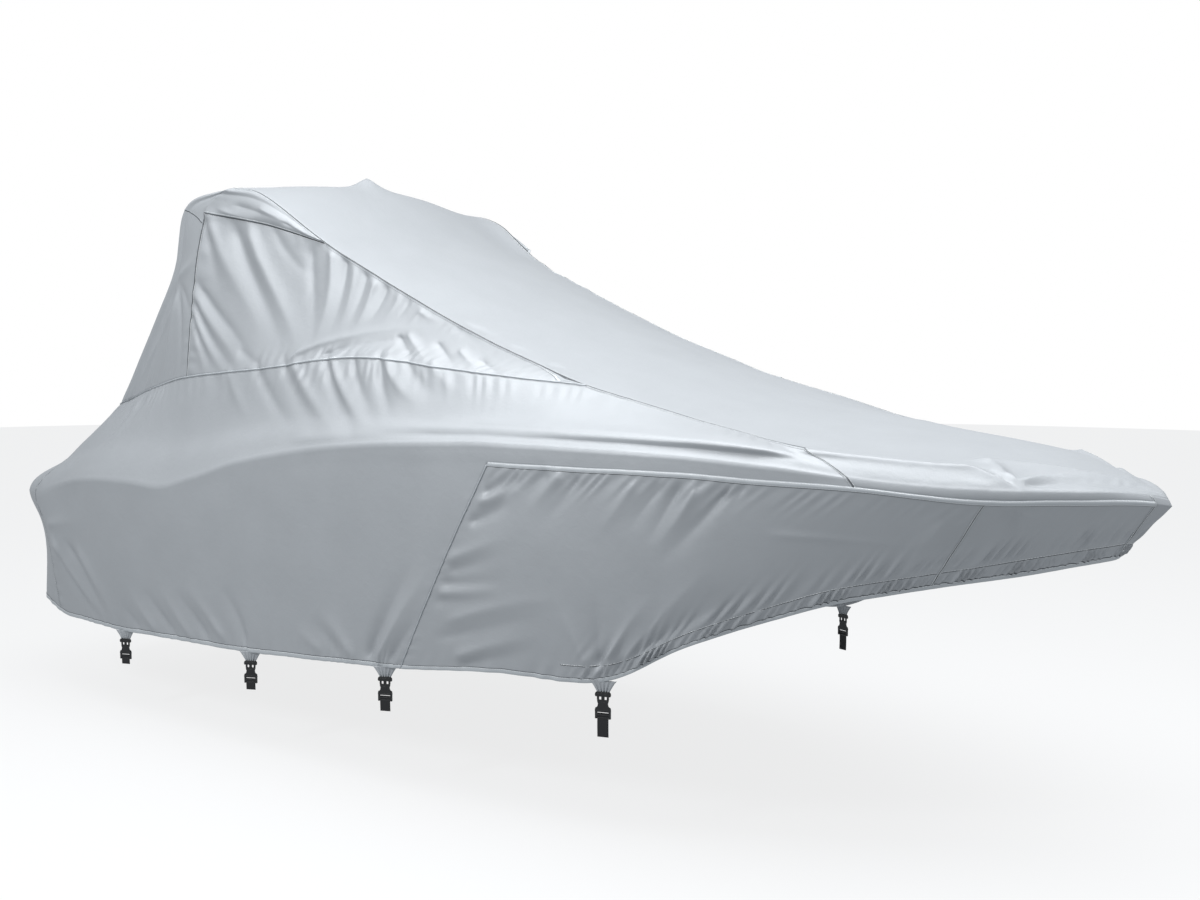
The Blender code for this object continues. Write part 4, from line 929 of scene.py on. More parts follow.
def grid_mesh(name, columns, rows, keep=None):
    """A flat grid, with the column and the row of each of its points. keep tells which of its cells stay."""
    bm = bmesh.new()
    bmesh.ops.create_grid(bm, x_segments=columns, y_segments=rows, size=0.5)
    if keep is not None:
        spare = []
        for face in bm.faces:
            centre = face.calc_center_median()
            if not keep(int((centre.x + 0.5) * columns), int((centre.y + 0.5) * rows)):
                spare.append(face)
        bmesh.ops.delete(bm, geom=spare, context="FACES")
    mesh = mesh_of(bm, name)
    flat = np.empty(len(mesh.vertices) * 3)
    mesh.vertices.foreach_get("co", flat)
    across, up = flat.reshape(-1, 3).T[:2] + 0.5
    return mesh, np.rint(across * columns).astype(int), np.rint(up * rows).astype(int)


def lay(mesh, points, uvs=None):
    """Moves a grid's points to their places, sews the ones that meet, and turns its faces outwards."""
    mesh.vertices.foreach_set("co", points.ravel())
    if uvs is not None:
        write_uvs(mesh, uvs)
    bm = bmesh.new()
    bm.from_mesh(mesh)
    bmesh.ops.remove_doubles(bm, verts=bm.verts, dist=SEWN)
    bmesh.ops.dissolve_degenerate(bm, edges=bm.edges, dist=SEWN)
    bmesh.ops.recalc_face_normals(bm, faces=bm.faces)
    middle = Vector(INSIDE) - Vector(ORIGIN)
    outward = 0.0
    for face in bm.faces:
        outward += face.normal.dot(face.calc_center_median() - middle) * face.calc_area()
    if outward < 0.0:
        bmesh.ops.reverse_faces(bm, faces=bm.faces)
    bm.to_mesh(mesh)
    bm.free()
    mesh.update()


def thicken(obj, thickness, offset=0.0):
    """Gives a sheet its thickness: half to each side, or all of it inward at offset -1."""
    wall = obj.modifiers.new("Cloth", "SOLIDIFY")
    wall.thickness = thickness
    wall.offset = offset


def spread(stops):
    """Places along a panel: each stop is (place, cells to the next one)."""
    places = []
    for (start, cells), (end, _) in zip(stops, stops[1:]):
        places.extend(np.linspace(start, end, cells + 1)[:-1])
    places.append(stops[-1][0])
    return np.array(places)


def stretch_of(first, last, cell):
    """Places along the gunwale from one station to another, about a cell apart, each station among them."""
    names = STATIONS[STATIONS.index(first) : STATIONS.index(last) + 1]
    marks = [MARK[name] for name in names]
    cells = [max(1, round((end - start) / cell)) for start, end in zip(marks, marks[1:])]
    return spread(list(zip(marks, [*cells, 0])))


def drop_of(rows, cell):
    """Places down a panel, about a cell apart. Each row is (place, metres to the next one)."""
    return spread([(place, max(1, round(length / cell))) for place, length in rows])


def both_ways(half):
    """The same places to starboard of the middle line and to port of it."""
    return np.concatenate([-half[::-1], half[1:]])


def on_side(surface, sign):
    """The surface on one side of the cover."""

    def own(along, down):
        points = surface(along, down)
        points[:, 1] *= sign
        return points

    return own


def add_panel(name, surface, along, down, material, keep=None):
    """One sewn panel of the cover. It stands for the CAD node of the same name."""
    own_keep = None
    if keep is not None:

        def own_keep(i, j):
            return keep((along[i] + along[i + 1]) / 2, (down[j] + down[j + 1]) / 2)

    mesh, i, j = grid_mesh(name, len(along) - 1, len(down) - 1, own_keep)
    lay(mesh, dressed(surface(along[i], down[j])))
    panel = add_object(f"cloth_{name}", mesh, material)
    thicken(panel, bpy.context.scene.cover_shape.thickness)
    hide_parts(name)
    return panel


# ----------------------------------------------------------------------------------------------------
# Seams
# ----------------------------------------------------------------------------------------------------


def off_seam(side, travel, offset):
    """The points at a distance from a seam, over the cloth on one side of it."""
    start = side(travel, np.zeros(len(travel)))
    span = lengths(side(travel, np.full(len(travel), PROBE)) - start) / PROBE
    return side(travel, offset / np.maximum(span, 1e-3))


def evenly(side, first, last, pitch):
    """Places along a seam an even distance apart, and that distance run up."""
    fine = np.linspace(first, last, 600)
    line = side(fine, np.zeros(len(fine)))
    run = np.concatenate([[0.0], np.cumsum(lengths(np.diff(line, axis=0)))])
    metres = np.linspace(0.0, run[-1], max(2, round(run[-1] / pitch)) + 1)
    return np.interp(metres, run, fine), metres


def add_seam(name, side_a, side_b, reach, profile, material):
    """A sewn strip along a seam.

    side_a and side_b give the cloth on its two sides, by the place along the seam and the distance into the
    cloth. profile holds (offset, height) in metres, offset being negative on side_b.
    """
    travel, metres = evenly(side_a, *reach, SEAM_PITCH)
    offsets, heights = np.array(profile).T
    strip = []
    for offset in offsets:
        strip.append(dressed(off_seam(side_a if offset >= 0.0 else side_b, travel, abs(offset))))
    strip = np.stack(strip, axis=1)
    square = np.cross(np.gradient(strip, axis=0), np.gradient(strip, axis=1))
    square /= np.maximum(np.linalg.norm(square, axis=2, keepdims=True), 1e-12)
    middle = np.array(INSIDE) - np.array(ORIGIN)
    if (square * (strip - middle)).sum() < 0.0:
        square = -square
    strip += square * heights[None, :, None]
    mesh, i, j = grid_mesh(name, len(metres) - 1, len(profile) - 1)
    lay(mesh, strip[i, j], np.stack([metres[i], offsets[j]], axis=1))
    seam = add_object(name, mesh, material)
    thicken(seam, SEAM_THICK, -1.0)
    return seam


# Profiles across a seam, as (offset, height): where one layer laps the other the strip stands higher.
FELLED = (
    (-0.0105, 0.0004), (-0.0095, 0.0022), (0.0, 0.0026), (0.0012, 0.0014), (0.0075, 0.0016), (0.0085, 0.0004),
)
FLAT = ((-0.0085, 0.0004), (-0.0075, 0.0020), (0.0, 0.0012), (0.0075, 0.0020), (0.0085, 0.0004))
HEMMED = (
    (0.0, 0.0016), (0.001, 0.0026), (0.010, 0.0022), (0.024, 0.0024), (0.026, 0.0016), (0.0268, 0.0002),
)
LAPPED = (
    (-0.0135, 0.0004), (-0.0125, 0.0024), (0.0, 0.0030), (0.011, 0.0026), (0.012, 0.0010), (0.0128, 0.0004),
)
STITCHED = ((-0.0045, 0.0004), (-0.0030, 0.0018), (0.0, 0.0012), (0.0030, 0.0018), (0.0045, 0.0004))
FOOT_CORD = 0.0055  # radius of the cord in the foot seam's piping
SKIRT_CORD = 0.0050  # and in the skirt seam's
ELASTIC_START = 0.25  # the elastic's stitching starts this far forward of the tower's tip


def piped(radius):
    """The profile of a covered cord sewn into a seam."""
    turns = [math.radians(angle) for angle in (-10, 20, 50, 75, 90, 105, 130, 160, 190)]
    return tuple((-radius * math.cos(turn), radius * math.sin(turn) + 0.001) for turn in turns)


# ----------------------------------------------------------------------------------------------------
# Materials
# ----------------------------------------------------------------------------------------------------


def linear(colour):
    """Linear light from an sRGB hex colour."""
    parts = (int(colour[place : place + 2], 16) / 255 for place in (1, 3, 5))
    return (*(part / 12.92 if part <= 0.04045 else ((part + 0.055) / 1.055) ** 2.4 for part in parts), 1.0)


def add_node(tree, kind, settings=(), links=()):
    """Adds a node, sets its properties or input values by name, and links outputs into its inputs.

    An input that shares its name with another is given by its number.
    """
    node = tree.nodes.new(kind)
    for name, value in dict(settings).items():
        if isinstance(name, str) and hasattr(node, name):
            setattr(node, name, value)
        else:
            node.inputs[name].default_value = value
    for name, output in dict(links).items():
        tree.links.new(output, node.inputs[name])
    return node


def new_material(name, colour, roughness, metallic=0.0):
    """A plain material, with its node tree and shader."""
    material = bpy.data.materials.new(name)
    material.use_nodes = True
    shader = material.node_tree.nodes["Principled BSDF"]
    shader.inputs["Base Color"].default_value = colour
    shader.inputs["Roughness"].default_value = roughness
    shader.inputs["Metallic"].default_value = metallic
    return material, material.node_tree, shader


def mottle(tree, coordinates, colour, depth, size):
    """The colour, lighter and darker by a share over soft clouds of one size."""
    clouds = add_node(tree, "ShaderNodeTexNoise", {"Scale": 1.0 / size, "Detail": 3.0, "Roughness": 0.55},
                      {"Vector": coordinates})
    amount = add_node(tree, "ShaderNodeMapRange", {"To Min": 1.0 - depth, "To Max": 1.0 + depth},
                      {"Value": clouds.outputs["Fac"]})
    mix = {"data_type": "RGBA", "blend_type": "MULTIPLY", "clamp_result": False, 0: 1.0, 6: colour}
    return add_node(tree, "ShaderNodeMix", mix, {7: amount.outputs[0]}).outputs[2]


def emboss(tree, shader, height, strength, distance, under=None):
    """Raises the surface by a height, over an earlier relief if there is one."""
    links = {"Height": height}
    if under is not None:
        links["Normal"] = under
    bump = add_node(tree, "ShaderNodeBump", {"Strength": strength, "Distance": distance}, links)
    tree.links.new(bump.outputs["Normal"], shader.inputs["Normal"])
    return bump.outputs["Normal"]


def coated_polyester(name, colour):
    """Woven polyester with a silver reflective coating: satin, faintly mottled and softly crinkled."""
    finish = bpy.context.scene.cover_finish
    material, tree, shader = new_material(name, colour, finish.cloth_roughness, finish.cloth_metallic)
    where = add_node(tree, "ShaderNodeTexCoord").outputs["Object"]
    tree.links.new(mottle(tree, where, colour, 0.05, 0.22), shader.inputs["Base Color"])
    crumple = {"Scale": 24.0, "Detail": 4.0, "Roughness": 0.6, "Distortion": 0.4}
    crinkle = add_node(tree, "ShaderNodeTexNoise", crumple, {"Vector": where})
    # The weave has some 20 threads to the centimetre. It is drawn 6 mm apart, as a faint grain.
    grain = add_node(tree, "ShaderNodeTexNoise", {"Scale": 160.0, "Detail": 1.0}, {"Vector": where})
    soft = emboss(tree, shader, crinkle.outputs["Fac"], 0.35, 0.004)
    emboss(tree, shader, grain.outputs["Fac"], 0.12, 0.0008, under=soft)
    return material


def topstitched_polyester(name, colour, rows, line, shadow_half):
    """The same cloth as a felled seam, with rows of lockstitch and a painted shadow line where its edges lap.

    UV is metres along and across. The thread is 0.6 mm thick with some 3 stitches to the centimetre. It is
    drawn 1.8 mm wide and about 11 mm long, and the painted shadow line up to 9 mm wide.
    """
    material, tree, shader = new_material(name, colour, 0.5, 0.1)
    where = add_node(tree, "ShaderNodeUVMap", {"uv_map": "UVMap"}).outputs["UV"]
    split = add_node(tree, "ShaderNodeSeparateXYZ", (), {"Vector": where})

    def step(operation, *terms):
        """One step of arithmetic on numbers and outputs."""
        numbers = {place: term for place, term in enumerate(terms) if isinstance(term, float)}
        links = {place: term for place, term in enumerate(terms) if not isinstance(term, float)}
        return add_node(tree, "ShaderNodeMath", {"operation": operation, **numbers}, links).outputs[0]

    def within(place, half):
        """1 on a line along the seam, and 0 off it."""
        return step("COMPARE", split.outputs["Y"], place, half)

    stitch = step("GREATER_THAN", step("PINGPONG", split.outputs["X"], STITCH_STEP), STITCH_GAP)
    sewn = within(rows[0], THREAD_HALF)
    for row in rows[1:]:
        sewn = step("MAXIMUM", sewn, within(row, THREAD_HALF))
    thread = step("MULTIPLY", sewn, stitch)
    # Painted shadow: the line where the edges lap is coloured dark, in place of the shade in its step
    lap_shadow = add_node(tree, "ShaderNodeMix", {"data_type": "RGBA", 6: colour, 7: linear(LAP_SHADOW_HEX)},
                      {0: within(line, shadow_half)})
    shade = add_node(tree, "ShaderNodeMix", {"data_type": "RGBA", 7: linear(THREAD_HEX)},
                     {0: thread, 6: lap_shadow.outputs[2]})
    tree.links.new(shade.outputs[2], shader.inputs["Base Color"])
    emboss(tree, shader, thread, 0.5, 0.001)
    return material


def moulded_acetal(name, colour):
    """Injection-moulded black acetal with a fine spark-eroded grain."""
    material, tree, shader = new_material(name, colour, 0.38)
    where = add_node(tree, "ShaderNodeTexCoord").outputs["Object"]
    grain = add_node(tree, "ShaderNodeTexNoise", {"Scale": 900.0, "Detail": 1.0}, {"Vector": where})
    emboss(tree, shader, grain.outputs["Fac"], 0.15, 0.0003)
    return material


def woven_webbing(name, colour):
    """Black polypropylene webbing, its ribs drawn 4 mm apart across the width. UV is metres, across first."""
    material, tree, shader = new_material(name, colour, 0.8)
    where = add_node(tree, "ShaderNodeUVMap", {"uv_map": "UVMap"}).outputs["UV"]
    ribs = add_node(tree, "ShaderNodeTexWave", {"Scale": 80.0, "Distortion": 0.0}, {"Vector": where})
    emboss(tree, shader, ribs.outputs["Fac"], 0.6, 0.0006)
    return material


def painted_floor(name, colour):
    """The studio's matt floor, lit from within so that it stays as pale as the backdrop."""
    material, _, shader = new_material(name, colour, 0.9)
    shader.inputs["Specular IOR Level"].default_value = 0.0
    shader.inputs["Emission Color"].default_value = (1.0, 1.0, 1.0, 1.0)
    shader.inputs["Emission Strength"].default_value = FLOOR_GLOW
    return material


# ----------------------------------------------------------------------------------------------------
# Panels
# ----------------------------------------------------------------------------------------------------

# Rows down each panel: the place, and about how many metres it is to the next one.
TOP_DROP = ((-1.0, 0.88), (0.0, 0.20), (1.0, 0.10), (2.0, 0.05), (3.0, 0.0))
BACK_DROP = ((0.0, 0.40), (1.0, 0.30), (2.0, 0.36), (3.0, 0.46), (4.0, 0.0))
STERN_DROP = ((0.0, 0.46), (1.0, 0.30), (2.0, 0.18), (3.0, 0.52), (4.0, 0.0))
STEM_DROP = ((2.0, 0.06), (3.0, 0.32), (4.0, 0.0))
TOWER_DROP = ((0.0, 0.08), (1.0, 0.20), (2.0, 0.28), (3.0, 0.36), (4.0, 0.0))
SIDE_DROP = ((0.0, 0.22), (1.0, 0.20), (2.0, 0.08), (3.0, 0.80), (4.0, 0.0))
SKIRT_DROP = ((3.0, 0.85), (4.0, 0.0))

# Each panel's cell along the cover and down it. The top panel's is smaller at the bow, where it is gathered.
TOP_CELLS = (0.023, 0.021)
TOP_BOW_CELL = 0.0095
BACK_CELLS = (0.0205, 0.0205)
STERN_CELLS = (0.021, 0.021)
STEM_CELLS = (0.008, 0.010)
CHEEK_CELLS = (0.012, 0.030)
TOWER_CELLS = (0.013, 0.0145)
SIDE_CELLS = (0.016, 0.0165)
SKIRT_CELL = 0.014
FORE_STRETCHES = (("skirt_seam", "tower_tip", 0.010), ("tower_tip", "dart", 0.006))
BOW_STRETCHES = (("dart", "nose_seam", 0.006),)


def build_top():
    """The long panel over the tower and the fore deck, which reaches down to the stitching at the bow."""
    cell_along, cell_down = TOP_CELLS
    deck = stretch_of("tower_seam", "bow_seam", cell_along)
    along = np.concatenate([deck[:-1], stretch_of("bow_seam", "stem", TOP_BOW_CELL)])
    half = drop_of(TOP_DROP, cell_down)
    down = np.concatenate([-2.0 - half[::-1], half[1:]])

    def both_sides(places, drops):
        """The port side's rows, and the starboard side's as their mirror images about -1."""
        far = drops < -1.0
        points = bow_cloth(places, np.where(far, -2.0 - drops, drops))
        points[:, 1] *= np.where(far, -1.0, 1.0)
        return points

    def keep(place, drop):
        reach = -2.0 - drop if drop < -1.0 else drop
        if place < MARK["bow_seam"]:
            return reach < 0.0
        return place < MARK["nose_seam"] or reach < 2.0

    return add_panel("top_panel", both_sides, along, down, cloth_of("top"), keep)


def build_tower_back():
    cell_along, cell_down = BACK_CELLS
    along = both_ways(stretch_of("stern_middle", "tower_seam", cell_along))
    down = drop_of(BACK_DROP, cell_down)
    return add_panel("tower_back", mirrored(back_cloth), along, down, cloth_of("top"))


def build_stern():
    cell_along, cell_down = STERN_CELLS
    along = both_ways(stretch_of("stern_middle", "corner_seam", cell_along))
    down = drop_of(STERN_DROP, cell_down)
    return add_panel("stern_panel", mirrored(skirt_cloth), along, down, cloth_of("skirt"))


def build_stem():
    cell_along, cell_down = STEM_CELLS
    half = stretch_of("nose_seam", "stem", cell_along)
    along = np.concatenate([half, 2 * MARK["stem"] - half[::-1][1:]])

    def round_stem(places, drops):
        """The skirt up to the stem, and past it the other side's."""
        over = places > MARK["stem"]
        points = skirt_cloth(np.where(over, 2 * MARK["stem"] - places, places), drops)
        points[:, 1] *= np.where(over, -1.0, 1.0)
        return points

    return add_panel("stem_panel", round_stem, along, drop_of(STEM_DROP, cell_down), cloth_of("skirt"))


def build_cheek(side, sign):
    cell_along, cell_down = CHEEK_CELLS
    corner = MARK["corner_seam"]
    tower = MARK["tower_seam"]
    along = stretch_of("tower_seam", "strap_2", cell_along)
    down = (stretch_of("corner_seam", "tower_seam", cell_down) - corner) / (tower - corner)
    return add_panel(f"tower_cheek_{side}", on_side(cheek_cloth, sign), along, down, cloth_of("top"))


def cells_for(side, cells):
    """A side panel's cells along and down, larger on the port side."""
    larger = PORT_CELL if side == "port" else 1.0
    return [cell * larger for cell in cells]


def build_tower_side(side, sign):
    cell_along, cell_down = cells_for(side, TOWER_CELLS)
    along = stretch_of("tower_seam", "tower_tip", cell_along)
    down = drop_of(TOWER_DROP, cell_down)
    return add_panel(f"tower_side_{side}", on_side(tower_cloth, sign), along, down, cloth_of("top"))


def build_long_side(side, sign):
    cell_along, cell_down = cells_for(side, SIDE_CELLS)
    along = stretch_of("corner_seam", "bow_seam", cell_along)
    down = drop_of(SIDE_DROP, cell_down)

    def keep(place, drop):
        return drop < 3.0 or place < MARK["skirt_seam"]

    return add_panel(f"side_panel_{side}", on_side(skirt_cloth, sign), along, down, cloth_of("skirt"), keep)


def build_skirt(name, stretches, side, sign):
    """A forward skirt. Each of its stretches is (first station, last station, cell)."""
    runs = [stretch_of(*stretch) for stretch in stretches]
    along = np.concatenate([run[:-1] for run in runs] + [runs[-1][-1:]])
    down = drop_of(SKIRT_DROP, SKIRT_CELL)
    return add_panel(f"{name}_{side}", on_side(skirt_cloth, sign), along, down, cloth_of("skirt"))


# ----------------------------------------------------------------------------------------------------
# Seams, each by the cloth on its two sides
# ----------------------------------------------------------------------------------------------------


def beside_column(surface, value, sign):
    """The cloth on one side of a seam that runs down its surface, at one distance along."""

    def side(travel, off):
        return surface(np.full(len(travel), value) + sign * off, travel)

    return side


def row_at(surface, row, sign):
    """The cloth on one side of a seam that runs along a row of its surface."""

    def side(travel, off):
        return surface(travel, row + sign * off)

    return side


def edge_above(along, off):
    """The top panel beside its long side seam."""
    return top_cloth(along, 1.0 - off)


def edge_below(along, off):
    """The cloth under the top panel's edge: the cheek, then the tower's side, then the slope."""
    places = (along < MARK["strap_2"], along < MARK["tower_tip"])
    cloths = (cheek_cloth(along, off), tower_cloth(along, off))
    return np.select([place[:, None] for place in places], cloths, skirt_cloth(along, off))


def foot_above(along, off):
    """The cloth over the foot seam: the tower's back, then its side."""
    aft = (along < MARK["tower_seam"])[:, None]
    return np.where(aft, back_cloth(along, 4.0 - off), tower_cloth(along, 4.0 - off))


def elastic_row(along, off):
    """The cloth at the elastic's stitching, and off it: up the skirt, or down it if off is negative."""
    return skirt_cloth(along, 4.0 - GATHER_LINE / lengths(hem_line(along) - seam_line(along)) - off)


def below_elastic(along, off):
    return elastic_row(along, -off)


def build_seams(side, sign):
    """The seams that are sewn once on each side."""
    top = cloth_of("top_seam")
    skirt = cloth_of("skirt_seam")
    lap = cloth_of("gunwale_seam")
    bead = cloth_of("skirt_piping")
    above_eave = row_at(cheek_cloth, 1.0, -1.0)
    below_eave = row_at(tower_cloth, 0.0, 1.0)
    above_gunwale = row_at(skirt_cloth, 3.0, -1.0)
    below_gunwale = row_at(skirt_cloth, 3.0, 1.0)
    below_foot = row_at(skirt_cloth, 0.0, 1.0)
    along_cover = (
        ("top_seam", edge_above, edge_below, ("tower_seam", "bow_seam"), FELLED, top),
        ("eave_seam", below_eave, above_eave, ("tower_seam", "strap_2"), FLAT, top),
        ("gunwale_seam", below_gunwale, above_gunwale, ("skirt_seam", "nose_seam"), LAPPED, lap),
        ("foot_seam", foot_above, below_foot, ("stern_middle", "tower_tip"), piped(FOOT_CORD), bead),
    )
    down_cover = (
        ("skirt_seam", "skirt_seam", skirt_cloth, skirt_cloth, (3.0, 4.0), piped(SKIRT_CORD), bead),
        ("dart_seam", "dart", skirt_cloth, skirt_cloth, (3.0, 4.0), FLAT, skirt),
        ("nose_seam", "nose_seam", skirt_cloth, skirt_cloth, (2.0, 4.0), FLAT, skirt),
        ("corner_seam", "corner_seam", skirt_cloth, skirt_cloth, (0.0, 4.0), FLAT, skirt),
        ("tower_corner_seam", "tower_seam", tower_cloth, back_cloth, (0.0, 4.0), FLAT, top),
        ("bow_seam", "bow_seam", skirt_cloth, skirt_cloth, (0.0, 3.0), FELLED, top),
    )
    for name, side_a, side_b, (first, last), profile, material in along_cover:
        reach = (MARK[first], MARK[last])
        add_seam(f"{name}_{side}", on_side(side_a, sign), on_side(side_b, sign), reach, profile, material)
    for name, station, ahead, astern, reach, profile, material in down_cover:
        side_a = on_side(beside_column(ahead, MARK[station], 1.0), sign)
        side_b = on_side(beside_column(astern, MARK[station], -1.0), sign)
        add_seam(f"{name}_{side}", side_a, side_b, reach, profile, material)


def build_cross_seams():
    """The seams that run across the tower from side to side."""
    top = cloth_of("top_seam")
    corner = MARK["corner_seam"]
    tower = MARK["tower_seam"]
    back = mirrored(back_cloth)
    add_seam("brow_seam", row_at(back, 0.0, 1.0), mirrored(top_row), (-corner, corner), FLAT, top)
    add_seam("lip_seam", row_at(back, 1.0, 1.0), row_at(back, 1.0, -1.0), (-tower, tower), STITCHED, top)


def build_hems():
    """The folded hem all round, and the elastic's stitching above it from just aft of the fourth strap."""
    for side, sign in SIDES:
        hem = on_side(row_at(skirt_cloth, 4.0, -1.0), sign)
        add_seam(f"hem_{side}", hem, hem, (MARK["stern_middle"], MARK["stem"]), HEMMED, cloth_of("hem"))
        above = on_side(elastic_row, sign)
        below = on_side(below_elastic, sign)
        reach = (MARK["tower_tip"] + ELASTIC_START, MARK["stem"])
        add_seam(f"elastic_stitching_{side}", above, below, reach, STITCHED, cloth_of("skirt_seam"))


# ----------------------------------------------------------------------------------------------------
# Strap sets
# ----------------------------------------------------------------------------------------------------


def strap_frame(sign, row):
    """Where a strap set hangs from the hem. Its own axes are across, up and out of its plane."""
    _, x, out, up, yaw, _ = row
    hem = folded(np.array([[x, out * sign, up]]))[0]
    hang = Vector(hem) - Vector((0.0, 0.0, DROP_CLEAR)) - Vector(ORIGIN)
    facing = (180.0 if sign > 0 else 0.0) - sign * yaw
    turn = Matrix.Rotation(math.radians(facing), 4, "Z") @ Matrix.Rotation(math.radians(90.0), 4, "X")
    return Matrix.Translation(hang) @ turn


def placed(points, place):
    """Points of a strap set's piece, taken from the set's own axes to where it hangs."""
    return points @ np.array(place.to_3x3()).T + np.array(place.translation)


def moulding(name, blocks, place):
    """Rounded blocks of acetal joined into one piece. Each block is its outline and its (back, front)."""
    bm = bmesh.new()
    for outline, (back, front) in blocks:
        ring = bmesh.ops.create_circle(bm, cap_ends=True, segments=len(outline), radius=1.0)["verts"]
        for vert, (across, up) in zip(ring, outline):
            vert.co = (across, up, back)
        raised = bmesh.ops.extrude_face_region(bm, geom=list(ring[0].link_faces))["geom"]
        for vert in raised:
            if isinstance(vert, bmesh.types.BMVert):
                vert.co.z = front
    bmesh.ops.recalc_face_normals(bm, faces=bm.faces)
    bmesh.ops.bevel(bm, geom=list(bm.edges), affect="EDGES", offset=BUCKLE_EASE, offset_type="OFFSET",
                    segments=2, profile=0.5, material=-1, clamp_overlap=True)
    bmesh.ops.recalc_face_normals(bm, faces=bm.faces)
    bm.transform(place)
    mesh = mesh_of(bm, name)
    piece = add_object(name, mesh, bpy.data.materials["acetal"])
    mesh.shade_flat()
    return piece


def both_halves(right):
    """A closed outline from its right half, listed from the top down."""
    return right + [(-across, up) for across, up in reversed(right)]


def box(across, up, half_wide, half_high):
    """A rectangle's outline about its middle."""
    return [(across + half_wide * a, up + half_high * b) for a, b in ((1, 1), (1, -1), (-1, -1), (-1, 1))]


def tab_mesh(name, place):
    """The gathered cloth tab: pleats drawn in towards the buckle, with a folded edge down each side."""
    columns, rows = 48, 14
    mesh, i, j = grid_mesh(name, columns, rows)
    share = i / columns * 2.0 - 1.0
    drop = j / rows
    half = TAB_TOP / 2 + (TAB_FOOT - TAB_TOP) / 2 * drop**0.8
    pleat_top, pleat_foot = PLEAT
    pleat = np.cos(share * np.pi * TAB_PLEATS) * (pleat_top + (pleat_foot - pleat_top) * drop)
    fold = TAB_FOLD * np.exp(-(((np.abs(share) - 0.93) / 0.06) ** 2))
    points = np.stack([share * half, TAB_RISE - (TAB_DROP + TAB_RISE) * drop, pleat + fold], axis=1)
    mesh.vertices.foreach_set("co", placed(points, place).ravel())
    bm = bmesh.new()
    bm.from_mesh(mesh)
    bmesh.ops.recalc_face_normals(bm, faces=bm.faces)
    bm.to_mesh(mesh)
    bm.free()
    return mesh


def build_webbing(name, place, top, length):
    """The webbing's short tail out of the buckle, with its sealed end."""
    columns, rows = 12, 16
    mesh, i, j = grid_mesh(name, columns, rows)
    across = (i / columns - 0.5) * WEBBING_WIDTH
    up = top - length * j / rows
    bow = WEBBING_BOW * np.sin(np.pi * j / rows)
    mesh.vertices.foreach_set("co", placed(np.stack([across, up, bow], axis=1), place).ravel())
    write_uvs(mesh, np.stack([across, up], axis=1))
    webbing = add_object(name, mesh, bpy.data.materials["webbing"])
    thicken(webbing, WEBBING_THICK)
    return webbing


def both_hands(across, up, half_wide, half_high, deep):
    """The same block on the left and on the right."""
    return [(box(hand * across, up, half_wide, half_high), deep) for hand in (-1, 1)]


def upper_blocks(half, deep, top):
    """The upper half: the bar that the tab is sewn round, its rib, the middle guide and two prongs."""
    bar = [(half * 0.80, top), (half * 0.97, top - 0.006), (half, top - 0.016), (half * 0.92, top - 0.022)]
    return [
        (both_halves(bar), (-deep * 0.75, deep * 0.75)),
        (box(0.0, top - 0.010, half * 0.72, 0.0024), (deep * 0.6, deep * 0.95)),
        (box(0.0, top - 0.028, half * 0.20, 0.0085), (-deep * 0.5, deep * 0.6)),
        *both_hands(half * 0.62, top - 0.029, half * 0.13, 0.0075, (-deep * 0.55, deep * 0.6)),
    ]


def lower_blocks(half, deep, top, foot):
    """The lower half: its body with a raised pad and rib, two legs, and two bars for the webbing."""
    body = [
        (half * 0.70, top),
        (half * 0.70, top - 0.006),
        (half * 0.60, top - 0.018),
        (half * 0.68, top - 0.030),
        (half * 0.94, top - 0.036),
        (half, top - 0.048),
        (half * 0.97, foot + 0.030),
    ]
    return [
        (both_halves(body), (-deep, deep)),
        (box(0.0, top - 0.020, half * 0.30, 0.011), (deep * 0.8, deep * 1.12)),
        (box(0.0, top - 0.047, half * 0.80, 0.0018), (deep * 0.8, deep * 1.15)),
        *both_hands(half * 0.86, foot + 0.016, half * 0.12, 0.016, (-deep * 0.9, deep * 0.9)),
        (box(0.0, foot + 0.0035, half * 0.80, 0.0035), (-deep * 0.8, deep * 0.5)),
        (box(0.0, foot + 0.0165, half * 0.80, 0.0030), (-deep * 0.2, deep * 0.95)),
    ]


def build_strap(side, sign, row):
    """One strap set: cloth tab, both halves of the side-release buckle, and the webbing's tail."""
    number = row[0]
    tail = row[5]
    place = strap_frame(sign, row)
    half = BUCKLE_WIDTH / 2
    deep = BUCKLE_THICK / 2
    top = -TAB_DROP - CLEAR
    name = f"tab_{side}_{number}"
    tab = add_object(name, tab_mesh(name, place), cloth_of("tab"))
    thicken(tab, bpy.context.scene.cover_shape.thickness)
    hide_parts(f"strap_tab_{side}_{number}")
    prongs = moulding(f"release_prongs_{side}_{number}", upper_blocks(half, deep, top), place)
    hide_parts(f"buckle_upper_{side}_{number}")
    top -= PRONG_HEIGHT + CLEAR
    foot = top - BODY_HEIGHT
    body = moulding(f"release_body_{side}_{number}", lower_blocks(half, deep, top, foot), place)
    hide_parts(f"buckle_lower_{side}_{number}")
    top = foot + WEBBING_INSIDE
    webbing = build_webbing(f"strap_tail_{side}_{number}", place, top, tail + WEBBING_INSIDE)
    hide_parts(f"webbing_{side}_{number}")


# ----------------------------------------------------------------------------------------------------
# Studio
# ----------------------------------------------------------------------------------------------------


def add_floor(drop):
    """The floor, pale for the eye. It throws no light up under the cover."""
    bm = bmesh.new()
    bmesh.ops.create_circle(bm, cap_ends=True, segments=96, radius=FLOOR_RADIUS)
    bmesh.ops.translate(bm, verts=bm.verts, vec=(0.0, 0.0, -drop))
    mesh = mesh_of(bm, "floor")
    mesh.materials.append(bpy.data.materials["floor"])
    floor = bpy.data.objects.new("floor", mesh)
    bpy.context.scene.collection.objects.link(floor)
    floor.visible_diffuse = False
    floor.visible_glossy = False


